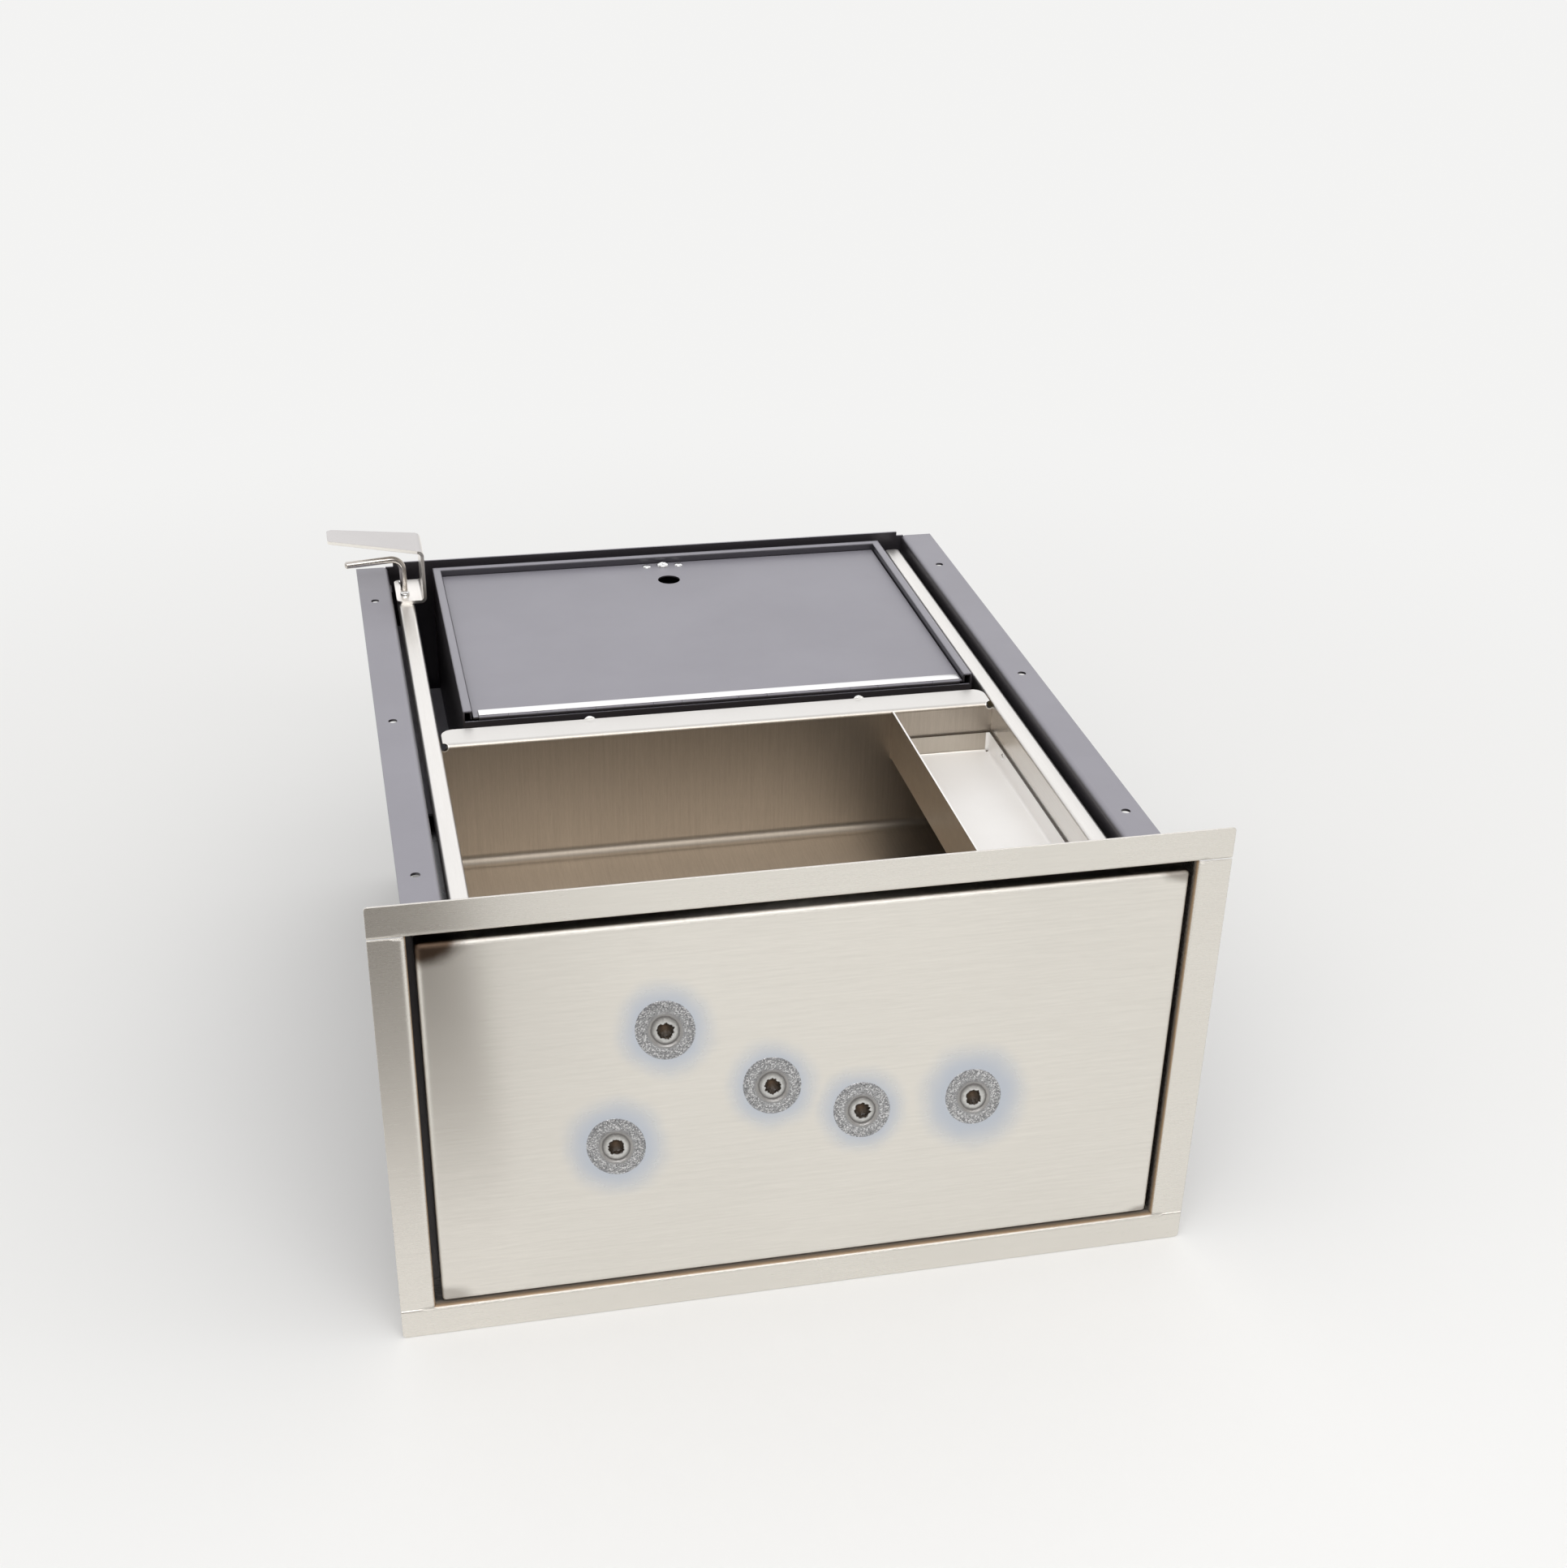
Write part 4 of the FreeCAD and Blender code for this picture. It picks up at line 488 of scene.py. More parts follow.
# %% The frame's mouth
MOUTH_HALF_WIDTH, MOUTH_MIDDLE, MOUTH_HALF_HEIGHT = 0.2794, 0.1849, 0.1595
BEND_RADIUS = 0.0035


def shape_mouth(material):
    """Round the edge more near the mouth, and shade the sheet just inside it."""
    bevel = next(node for node in material.node_tree.nodes if node.bl_idname == "ShaderNodeBevel")
    x, y, z = parts_of(own_place(material)["Object"])
    rise = math_node("ABSOLUTE", math_node("SUBTRACT", z, MOUTH_MIDDLE))
    outward = math_node("MAXIMUM",
                        math_node("SUBTRACT", math_node("ABSOLUTE", x), MOUTH_HALF_WIDTH),
                        math_node("SUBTRACT", rise, MOUTH_HALF_HEIGHT))
    feed(bevel, {"Radius": spread(outward, 0.012, 0.006, 0.0005, BEND_RADIUS)})
    inside = times(spread(outward, 0.0012, 0.0004), spread(y, -0.340, -0.3475))
    recolour(material, inside, rgb(176, 150, 122))
    feed(shader_of(material), {"Metallic": math_node("MULTIPLY_ADD", inside, -0.85, 1.0)})


shape_mouth(FINISH["stainless_frame"])
print("mouth bend", BEND_RADIUS / MM, "mm")

# %% [markdown]
# ## Powder coat and a painted sheen on level faces
#
# The cabinet and the cash box are painted steel.  Powder is sprayed on dry and melted in an
# oven, and it flows into a faint orange peel.  Noise as a bump makes that peel: colour alone
# would look like dull plastic.  The paint's sheen is painted too: every level face gets a pale
# tone of painted sheen while the upright ones stay dark, so a mask from the object's own
# normal blends the two tones; it turns with the lid when the lid opens.

# %% Group: painted sheen on level faces
def painted_level_group():
    """A mask of the level faces, from the object's own normal, for tones of painted sheen, light and shade."""
    tree, get, end = new_group("Painted level tone", "ShaderNodeTree",
                               {"Vector": "Vector", "Normal": "Vector", "Strength": 0.8}, {"Mask": "Float"})
    level = parts_of(get["Normal"])[2]
    thick = spread(noise(get["Vector"], 9.0, 4.0, 0.6), 0.3, 0.7, 0.92, 1.0)
    feed(end, {"Mask": times(spread(level, 0.30, 0.95), thick, get["Strength"])})
    return tree


def painted_level_mask(material, strength=1.0):
    """The level-face mask in a material."""
    place = own_place(material)
    return place_group(material.node_tree, PAINTED_LEVEL, {"Vector": place["Object"], "Normal": place["Normal"],
                                                  "Strength": strength})["Mask"]


PAINTED_LEVEL = painted_level_group()
print("group", PAINTED_LEVEL.name, "with", len(PAINTED_LEVEL.nodes), "nodes")

# %% [markdown]
# The paint is then short: the painted sheen as a second tone, the peel as a bump, clouds, and
# slightly rounded edges.  Hands have polished the cash box's rim, so its paint is glossier and
# rounder, and its painted sheen is a little darker.

# %% Powder coat
def powder_coat(name, colour, sheen_tone, roughness, edge=0.0006, strength=0.85):
    """Charcoal paint with orange peel, handling clouds and a painted sheen on its level faces."""
    material, tree, shader, where = new_material(name)
    mask = painted_level_mask(material, strength)
    normal = bump(noise(where, 620.0, 2.0), 0.25, 0.00012, edge_normal(tree, edge))
    clouded(tree, where, blend_colours(mask, colour, sheen_tone), roughness, 4.0, 0.05, normal)
    feed(shader, {"Specular IOR Level": 0.8, "Specular Tint": (0.96, 0.94, 1.0, 1)})
    return material


# the second tone of each coat is the painted sheen of its level faces
FINISH["powder_coat"] = powder_coat("powder_coat", rgb(44, 41, 45), rgb(154, 152, 161), 0.40)
FINISH["powder_rim"] = powder_coat("powder_rim", rgb(50, 48, 53), rgb(142, 140, 149), 0.28, 0.0025, 0.9)
print("powder coat on the cabinet and, glossier, on the cash box's rim")

# %% [markdown]
# ## Painted light and shade on the steel
#
# Some level steel faces get a painted tone: the tray's flange and the coin tray's level faces
# and right edge are painted pale, as painted light, and the pull handle's blade is painted
# darker, as painted shade.  The same level-face mask finds those faces.  The height or the
# side from which a face counts is a value, because only some levels of a piece get the tone:
# the tray's flange, the coin tray's edge, the pull handle's blade.

# %% Painted tone on level faces
def paint_level_tone(material, tone, metallic, above=0.0, beyond=1.0):
    """Paint the level faces above a height, and all that lies beyond an x, in another tone: painted light where it is
    paler, painted shade where it is darker.
    """
    x, _, z = parts_of(own_place(material)["Object"])
    mask = times(painted_level_mask(material), spread(z, above - 0.005, above + 0.005))
    mask = math_node("MAXIMUM", mask, spread(x, beyond - 0.0005, beyond + 0.0005))
    recolour(material, mask, tone)
    feed(shader_of(material), {"Metallic": math_node("MULTIPLY_ADD", mask, metallic - 1.0, 1.0)})
    print("level_tone:", material.name)


# painted light on the coin tray and the tray's flange, painted shade on the handle's blade
paint_level_tone(FINISH["stainless_coin"], rgb(252, 250, 248), 0.05, beyond=0.226)
paint_level_tone(FINISH["stainless_tray"], rgb(226, 224, 221), 0.9, above=0.30)
paint_level_tone(FINISH["stainless_handle"], rgb(193, 190, 189), 1.0, above=0.35)

# %% [markdown]
# Some bands are painted darker where sheets meet.  The coin tray is darker in a thin band
# under its upper edge, and the deal tray's bend is painted darker than its wall, as painted
# shade that softens the bright line along the bend.  Both are a band between two heights.  At
# both ends of the divider's flange a round hole lets the corner bend without tearing: its
# inside is painted dark, as painted shade, and its edge gets a painted highlight.

# %% Darker bands, and painted shade and highlights at the corner holes
def darken_band(material, low, high, tone, soft=0.0003, from_x=0.1457, strength=1.0):
    """A darker line between two heights, from an x on."""
    x, _, z = parts_of(own_place(material)["Object"])
    recolour(material, times(spread(z, low - soft, low + soft), spread(z, high + soft, high - soft),
                             spread(x, from_x - 0.0007, from_x + 0.0008, 0.0, strength)), tone)


def darken_corner_holes(material, centre, radius, tone, glint_tone):
    """A painted dark inside, as shade, and a painted highlight round the edge, of two holes that mirror each other."""
    shader = shader_of(material)
    folded = vector_node("ABSOLUTE", own_place(material)["Object"])
    gap = vector_node("DISTANCE", folded, centre)
    hole = spread(gap, radius + 0.0002, radius - 0.0002)
    recolour(material, times(spread(gap, radius + 0.0010, radius + 0.0005), 0.8), glint_tone)
    recolour(material, hole, tone)
    feed(shader, {"Metallic": times(fed_by(shader.inputs["Metallic"]), math_node("SUBTRACT", 1.0, hole))})


darken_band(FINISH["stainless_coin"], 0.2940, 0.2955, rgb(70, 62, 54))
# painted shade on the tray's bend, which dims the bright line it catches
darken_band(FINISH["stainless_tray"], 0.2125, 0.2170, rgb(120, 111, 101), soft=0.0022, from_x=-1.0, strength=0.75)
# painted shade inside the two corner holes and a painted highlight round their edges
darken_corner_holes(FINISH["stainless_tray"], (0.2280, 0.0190, 0.3186), 0.0031, rgb(26, 22, 19), rgb(250, 247, 242))
print("one seam, one bend, two corner holes")

# %% [markdown]
# ## Zinc, slide steel, rubber, board and the rest
#
# The small parts have their own finishes: zinc plate on screws and rivets, bright steel on
# the telescopic slides, black rubber bumpers, hard armour plate, fibre board.  Each gets a
# short recipe from the same groups, so that they belong together.

# %% Recipes for small parts
def plated(name, colour, roughness, size, contrast=0.10):
    """Zinc or bright steel: crystals of slightly different tone."""
    material, tree, shader, where = new_material(name)
    spangle = add(tree, "ShaderNodeTexVoronoi", {"Vector": where, "Scale": size}).outputs["Color"]
    value = spread(spangle, 0.0, 1.0, 1.0 - contrast, 1.0 + contrast, smooth=False)
    toned = add(tree, "ShaderNodeHueSaturation", {"Color": colour, "Value": value}).outputs[0]
    clouded(tree, where, toned, roughness, 60.0, 0.10, edge_normal(tree, 0.0003))
    feed(shader, {"Metallic": 1.0})
    return material


def dull(name, colour, second, roughness, size, depth, stretch=(1, 1, 1), metallic=0.0):
    """A matt surface of two tones with a grain of its own: rubber, board, hard plate or moulded plastic."""
    material, tree, shader, where = new_material(name)
    vector = add(tree, "ShaderNodeMapping", {"Vector": where, "Scale": stretch}).outputs[0]
    grain = noise(vector, size, 5.0, 0.7)
    mixed = blend_colours(spread(grain, 0.35, 0.65), colour, second)
    clouded(tree, where, mixed, roughness, 20.0, 0.08, bump(grain, 0.5, depth, edge_normal(tree, 0.0004)))
    feed(shader, {"Metallic": metallic})
    return material


print("recipes:", plated.__name__, dull.__name__)

# %% [markdown]
# The values could stand in one call each.  Two tables keep them side by side, so that
# finishes are easy to compare.

# %% Small finishes
PLATED = {
    "drawn_rod": (rgb(214, 209, 204), 0.26, 900.0, 0.03),
    "zinc_plate": (rgb(214, 213, 210), 0.30, 900.0),
    "bright_zinc": (rgb(240, 241, 242), 0.22, 900.0, 0.05),
    "slide_steel": (rgb(196, 198, 201), 0.28, 350.0, 0.06),
    "bearing_balls": (rgb(228, 228, 230), 0.12, 700.0, 0.03),
    "spring_steel": (rgb(150, 148, 146), 0.3, 500.0),
}
DULL = {
    "rubber": (rgb(30, 30, 31), rgb(20, 20, 21), 0.75, 500.0, 0.0001),
    "armour_steel": (rgb(92, 88, 86), rgb(70, 66, 64), 0.5, 120.0, 0.0001, (1, 1, 1), 1.0),
    "fibre_board": (rgb(192, 176, 132), rgb(166, 148, 104), 0.6, 90.0, 0.0001, (1, 9, 1)),
    "catch_plastic": (rgb(34, 34, 36), rgb(26, 26, 28), 0.5, 700.0, 0.00005),
}
for recipe, table in ((plated, PLATED), (dull, DULL)):
    FINISH.update({name: recipe(name, *values) for name, values in table.items()})
FINISH["hinge_strip"] = steel("hinge_strip", "x", rgb(246, 246, 246), rgb(238, 238, 239), 0.3, 0.4, 0.0003)
print("finishes:", len(FINISH))

# %% [markdown]
# ## Which finish each solid gets
#
# The table goes by the name of the solid.  A CAD solid keeps its mesh; only its material
# slot changes.  The front skin is left out, because it gets a finish of its own further on.

# %% Dress the solids
WEARS = {
    "stainless_frame": "face_flange_top face_flange_bottom face_flange_left face_flange_right",
    "stainless_rail": "drawer_side_left drawer_side_right drawer_bottom drawer_back front_inner_cover",
    "stainless_tray": "tray_pan",
    "stainless_coin": "coin_tray",
    "stainless_handle": "handle_bracket",
    "drawn_rod": "latch_rod latch_collar",
    "spring_steel": "latch_spring hinge_pin",
    # the mouth collar wears the dark powder coat as painted shade: it keeps the gap round the front dark
    "powder_coat": "hinge_box_leaf hinge_lid_leaf cabinet_side_left cabinet_side_right cabinet_bottom cabinet_back "
                   "mouth_collar latch_keeper cash_shelf cash_box cash_box_ends lid_panel",
    "powder_rim": "cash_box_rim",
    "zinc_plate": "cabinet_rivets latch_keeper_rivets slide_outer_screws slide_outer_nuts slide_inner_rivets "
                  "front_bolts drawer_rivets coin_tray_rivets baffle_bolts cash_box_bolts handle_screws handle_nuts "
                  "lid_catch_plate lid_catch_rivets lid_catch_screw",
    "slide_steel": "slide_outer_left slide_outer_right slide_middle_left slide_middle_right slide_inner_left "
                   "slide_inner_right",
    "bearing_balls": "slide_bearings_left slide_bearings_right",
    "rubber": "closing_bumpers",
    "armour_steel": "front_armour_plate",
    "fibre_board": "front_backing_board rear_baffle_core",
    "catch_plastic": "magnetic_catch",
}


def dress(node, material):
    """Give a CAD solid one material."""
    slots = NODES[node].data.materials
    slots.clear()
    slots.append(material)


for finish, names in WEARS.items():
    for node_name in names.split():
        dress(node_name, FINISH[finish])
print("still to dress:", sorted(set(NODES) - {name for names in WEARS.values() for name in names.split()}))

# %% [markdown]
# ## Screws, bolts and rivets
#
# Some fifty fasteners hold the drawer together, and a few of them sit in plain sight: two
# screws on the pull handle, a screw between two rivets on the lid, and the bolts of the rear
# baffle.  Each could be modelled by hand.  They differ only in size, so one Geometry Nodes
# tree grows them all on points that mark the seats, and turns each by a seeded random angle,
# because no fitter stops every screw at the same turn.

# %% Helpers: Geometry Nodes
def move_points(tree, shape, **how):
    """The shape with its points moved: Offset or Position, and perhaps a Selection."""
    return add(tree, "GeometryNodeSetPosition", {"Geometry": shape, **how}).outputs[0]


def position(tree):
    """Each point's own place."""
    return add(tree, "GeometryNodeInputPosition").outputs[0]


def attribute(tree, name, kind="FLOAT_VECTOR"):
    """A value that is stored on each point."""
    return add(tree, "GeometryNodeInputNamedAttribute", {"Name": name}, data_type=kind).outputs[0]


def ringed_disc(tree, sides, rings, radius, depth):
    """A flat cylinder whose caps have rings of points, to be pushed into shape."""
    return add(tree, "GeometryNodeMeshCylinder", {"Vertices": sides, "Side Segments": 1, "Fill Segments": rings,
                                                  "Radius": radius, "Depth": depth},
               fill_type="TRIANGLE_FAN").outputs["Mesh"]


def lathe_place(tree):
    """Each point's distance from the Z axis, and its x, y and z."""
    place = parts_of(position(tree))
    return vector_node("LENGTH", vector_of(place[0], place[1])), place


def is_above(value, limit):
    """Whether a value is above a limit."""
    return add(value.id_data, "FunctionNodeCompare", {0: value, 1: limit}, data_type="FLOAT",
               operation="GREATER_THAN").outputs[0]


print("Geometry Nodes helpers:", move_points.__name__, ringed_disc.__name__, lathe_place.__name__)

# %% [markdown]
# Every tree below ends in the same way: copies of the shape stand on the points, the copies
# become real geometry, and the finish goes on.  The finish is an input of the tree, so that
# a bright screw and a dull one can come from the same tree.

# %% Helpers: copies on points, and the finish
def stand_on_points(tree, points, shape, seed):
    """Instances that stand along the `way` attribute, each turned by a random angle, then realized."""
    stand = add(tree, "FunctionNodeAlignRotationToVector", {"Vector": attribute(tree, "way")}, axis="Z").outputs[0]
    turn = add(tree, "FunctionNodeRandomValue", {2: 0.0, 3: math.tau, 8: seed}, data_type="FLOAT").outputs[1]
    spin = add(tree, "FunctionNodeAxisAngleToRotation", {"Axis": (0, 0, 1), "Angle": turn}).outputs[0]
    facing = add(tree, "FunctionNodeRotateRotation", {0: stand, 1: spin}, rotation_space="LOCAL").outputs[0]
    put = add(tree, "GeometryNodeInstanceOnPoints", {"Points": points, "Instance": shape, "Rotation": facing})
    return add(tree, "GeometryNodeRealizeInstances", {0: put.outputs[0]}).outputs[0]


def finish_tree(tree, shape, finish, end):
    """Set the material and hand the shape out."""
    feed(end, {0: add(tree, "GeometryNodeSetMaterial", {"Geometry": shape, "Material": finish}).outputs[0]})
    print("tree", tree.name, "with", len(tree.nodes), "nodes")
    return tree


print("endings:", stand_on_points.__name__, finish_tree.__name__)

# %% [markdown]
# A fastener's head starts as a cylinder whose flat cap has rings.  The rings are lifted into
# a dome by a formula of their radius, and a cross is pressed into it.  Below it is a shank.

# %% Geometry Nodes: a row of fasteners
def head_dome(get, radius, rim):
    """How far each ring of the cap is lifted."""
    share = math_node("DIVIDE", radius, get["Head Radius"], clamp=True)
    fall = math_node("SUBTRACT", 1.0, math_node("POWER", share, get["Dome Power"]), clamp=True)
    return times(math_node("SQRT", fall), math_node("SUBTRACT", get["Head Height"], rim))


def head_cross(get, place):
    """How deep each point lies in the two arms of a pressed cross."""
    width, reach = get["Cross Width"], get["Cross Reach"]
    across, along = (math_node("ABSOLUTE", place[i]) for i in (0, 1))
    arms = [times(spread(a, times(width, 0.75), times(width, 0.25)),
                  spread(b, reach, times(reach, 0.75))) for a, b in ((across, along), (along, across))]
    return times(math_node("MAXIMUM", *arms), get["Cross Depth"])


def fastener_tree():
    """Domed heads with an optional pressed cross, on shanks."""
    tree, get, end = new_group(
        "Fastener row", "GeometryNodeTree",
        {"Seats": "Geometry", "Head Radius": 0.004, "Head Height": 0.002, "Rim Share": 0.25, "Dome Power": 2.0,
         "Shank Radius": 0.002, "Shank Length": 0.004, "Cross Width": 0.0012, "Cross Reach": 0.0, "Cross Depth": 0.0,
         "Sides": 24, "Rings": 5, "Seed": 1, "Finish": "Material"}, {"Fasteners": "Geometry"})

    def lifted(shape, height):
        return add(tree, "GeometryNodeTransform", {"Geometry": shape, "Translation": vector_of(z=height)}).outputs[0]

    rim = times(get["Head Height"], get["Rim Share"])
    half_rim = times(rim, 0.5)
    head = lifted(ringed_disc(tree, get["Sides"], get["Rings"], get["Head Radius"], rim), half_rim)
    radius, place = lathe_place(tree)
    rise = math_node("SUBTRACT", head_dome(get, radius, rim), head_cross(get, place))
    head = move_points(tree, head, Selection=is_above(place[2], half_rim), Offset=vector_of(z=rise))
    shank = add(tree, "GeometryNodeMeshCylinder", {"Vertices": 12, "Radius": get["Shank Radius"],
                                                   "Depth": get["Shank Length"]}).outputs["Mesh"]
    down = math_node("MULTIPLY_ADD", get["Shank Length"], -0.5, times(rim, 0.3))
    whole = add(tree, "GeometryNodeJoinGeometry")
    for part in (lifted(shank, down), head):
        tree.links.new(part, whole.inputs[0])
    return finish_tree(tree, stand_on_points(tree, get["Seats"], whole.outputs[0], get["Seed"]), get["Finish"], end)


FASTENERS = fastener_tree()

# %% [markdown]
# A tree runs as a modifier on a mesh of loose points.  Its result is kept as a plain mesh,
# which then belongs to a body of the drawer, so that it moves with it, and takes the place of
# the plain CAD solid that stood there.

# %% Helpers: grow a piece
def add_piece(name, mesh, body, slot, stands_for=(), sharp=40, reach_to=None):
    """Smooth a mesh between its sharp edges, tie it to its body, or with reach_to only fix it where it stands, and hide
    the solids it stands for.
    """
    mesh.name = name
    mesh.shade_smooth()
    mesh.set_sharp_from_angle(angle=math.radians(sharp))
    piece = bpy.data.objects.new(name, mesh)
    SCENE.collection.objects.link(piece)
    if reach_to:
        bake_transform(piece)
    else:
        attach(piece, body)
    if stands_for:
        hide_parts(*stands_for)
    print(name, "on", body, "with", len(mesh.polygons), "faces")


def grow(name, tree, seats, values, body, slot, stands_for=(), sharp=40, reach_to=None):
    """Run a tree on seats given as (x, y, z, way) in mm; keep the result as a plain mesh."""
    points = bpy.data.meshes.new(name + "_seats")
    points.from_pydata([(x * MM, y * MM, z * MM) for x, y, z, way in seats], [], [])
    ways, hearts = (points.attributes.new(label, "FLOAT_VECTOR", "POINT") for label in ("way", "heart"))
    for i, (x, y, z, way) in enumerate(seats):
        ways.data[i].vector = way
        hearts.data[i].vector = (x * MM, y * MM, z * MM)
    source = bpy.data.objects.new(name + "_source", points)
    SCENE.collection.objects.link(source)
    modifier = source.modifiers.new("grow", "NODES")
    modifier.node_group = tree
    for item in tree.interface.items_tree:
        if item.in_out == "INPUT" and item.name in values:
            modifier[item.identifier] = values[item.name]
    mesh = bpy.data.meshes.new_from_object(source.evaluated_get(bpy.context.evaluated_depsgraph_get()))
    source.modifiers.clear()
    bpy.data.objects.remove(source)
    add_piece(name, mesh, body, slot, stands_for, sharp, reach_to)


print("piece helpers:", add_piece.__name__, grow.__name__)

# %% [markdown]
# A pan head has a flat top with a rounded edge, so its dome power is high; a rivet is a true
# low dome.  Sizes are in millimetres.  Each seat has the way its head faces.

# %% Kinds of fasteners
UP, LEFT, RIGHT, REAR, OUTSIDE = (0, 0, 1), (-1, 0, 0), (1, 0, 0), (0, 1, 0), (0, -1, 0)
RIVET = {"Head Radius": 3.6 * MM, "Head Height": 1.5 * MM, "Rim Share": 0.15, "Shank Radius": 2.0 * MM,
         "Shank Length": 4.0 * MM}
FLAT_RIVET = {**RIVET, "Dome Power": 3.5, "Sides": 36, "Rings": 8}
PAN_HEAD = {"Rim Share": 0.45, "Dome Power": 3.5, "Shank Radius": 2.0 * MM, "Sides": 48, "Rings": 16}
BUTTON_HEAD = {"Rim Share": 0.2, "Dome Power": 2.4, "Sides": 32, "Rings": 8}


def fasten(name, body, solid, seats, kind, seed, finish="zinc_plate", **sizes):
    """A row of one kind; `sizes` name the tree's sockets, with _ for a space."""
    values = {**kind, "Seed": seed, "Finish": FINISH[finish]}
    values.update({key.replace("_", " "): size * MM for key, size in sizes.items()})
    grow(name, FASTENERS, seats, values, body, "zinc_plate", [solid])


def both_sides(x, spots):
    """Seats on the right and left walls, heads outward."""
    return [(side * x, y, z, RIGHT if side > 0 else LEFT) for side in (1, -1) for y, z in spots]


print("kinds: rivet, flat rivet, pan head, button head")

# %% [markdown]
# Rivets hold the folded sheets in rows.  They could be placed one by one, but a row at even
# heights is shorter as a loop over what differs.

# %% Rivets of the cabinet and the drawer
ALONG_CABINET = [(y, 36.2) for y in (-244.475, -69.85, 104.775, 279.4)]
UP_CABINET = [(336.45, z) for z in (101.6, 177.8, 269.24)]
ALONG_DRAWER = [(y, 44.8) for y, z in ALONG_CABINET] + [(y, 197.0) for y in (57.045, 155.235, 269.79)]
fasten("cabinet_rivet_heads", "cabinet", "cabinet_rivets", both_sides(252.0, ALONG_CABINET + UP_CABINET), RIVET, 2)
fasten("keeper_rivet_heads", "cabinet", "latch_keeper_rivets",
       [(-252.0, y, 296.2, LEFT) for y in (34.925, 174.625, 279.4)], RIVET, 3)
fasten("drawer_rivet_heads", "drawer", "drawer_rivets", both_sides(232.4, ALONG_DRAWER), RIVET, 4)
fasten("coin_tray_rivet_heads", "drawer", "coin_tray_rivets",
       [(228.9, y, 289.6, LEFT) for y in (-244.125, -60.295)], RIVET, 5, "bright_zinc",
       Head_Radius=2.9, Head_Height=1.2, Shank_Length=3.5)

# %% [markdown]
# Bolts and screws differ more, so each row gives its own sizes.  A cross is only as deep as
# its value: button heads leave it at zero and stay plain.

# %% Bolts and screws
fasten("baffle_bolt_heads", "drawer", "baffle_bolts",
       [(x, 7.95, z, REAR) for x in (-107.0, 121.0) for z in (317.6, 61.5)], BUTTON_HEAD, 6, "bright_zinc",
       Head_Radius=5.6, Head_Height=4.2, Shank_Radius=2.5, Shank_Length=18.0)
fasten("front_bolt_heads", "drawer", "front_bolts",
       [(x, -318.25, z, REAR) for x in (-217.7, 217.7) for z in (77.875, 130.525, 183.175)], BUTTON_HEAD, 7,
       Head_Radius=7, Head_Height=4, Shank_Radius=4, Shank_Length=27.0)
fasten("box_bolt_heads", "drawer", "cash_box_bolts",
       [(x, y, 209.5, UP) for x in (-173.3, 188.0) for y in (74.35, 281.25)], BUTTON_HEAD, 8,
       Head_Radius=7, Head_Height=4, Shank_Radius=4, Shank_Length=3.5)
fasten("handle_screw_heads", "drawer", "handle_screws", [(-237.9, y, 324.0, UP) for y in (292.25, 321.45)],
       PAN_HEAD, 9, "bright_zinc", Head_Radius=4.2, Head_Height=2.6, Shank_Length=8.2, Cross_Width=0.9,
       Cross_Reach=2.4, Cross_Depth=0.6)
fasten("lid_screw_head", "lid", "lid_catch_screw", [(7.55, 322.75, 324.0, UP)], PAN_HEAD, 12, "bright_zinc",
       Head_Radius=5.7, Head_Height=2.7, Shank_Length=3.0, Cross_Width=1.3, Cross_Reach=3.1, Cross_Depth=1.5)

# %% [markdown]
# The screw on the lid sits between two rivets.  Their heads are flatter than the domes in the
# cabinet's walls and have a rounded edge, so they get a high dome power and more rings.

# %% The lid's two rivets
fasten("lid_rivet_heads", "lid", "lid_catch_rivets", [(x, 322.75, 324.0, UP) for x in (-7.75, 22.85)], FLAT_RIVET, 13,
       "bright_zinc", Head_Radius=4.2, Head_Height=1.3, Shank_Length=3.0)

# %% [markdown]
# ## The spring under the rail
#
# A coil spring sits on the pull rod between its collar and the underside of the rail, and is
# pressed shorter as the rod lifts.  A coil could be a Screw modifier on a circle.  The tree
# below sweeps a round wire along a spiral, so that the wire keeps its thickness, and bends the
# spiral's height so that the turns at both ends lie flat, as on a real spring.

# %% Geometry Nodes: the coil spring
CLOSE_TURN = 2.08    # how far a closed turn rises, in wire radii: it only just clears itself


def spring_height(tree, get):
    """The height of each place on the spiral: one closed turn, the open turns, one closed turn."""
    share = add(tree, "GeometryNodeSplineParameter").outputs["Factor"]
    one_turn = math_node("DIVIDE", 1.0, get["Turns"])
    all_but_one = math_node("SUBTRACT", 1.0, one_turn)
    closed = times(get["Wire Radius"], CLOSE_TURN)
    open_part = math_node("MULTIPLY_ADD", get["Wire Radius"], -2 * (CLOSE_TURN + 1), get["Length"])
    height = spread(share, 0.0, one_turn, 0.0, closed, smooth=False)
    for part in (spread(share, one_turn, all_but_one, 0.0, open_part, smooth=False),
                 spread(share, all_but_one, 1.0, 0.0, closed, smooth=False), get["Wire Radius"]):
        height = math_node("ADD", height, part)
    return height


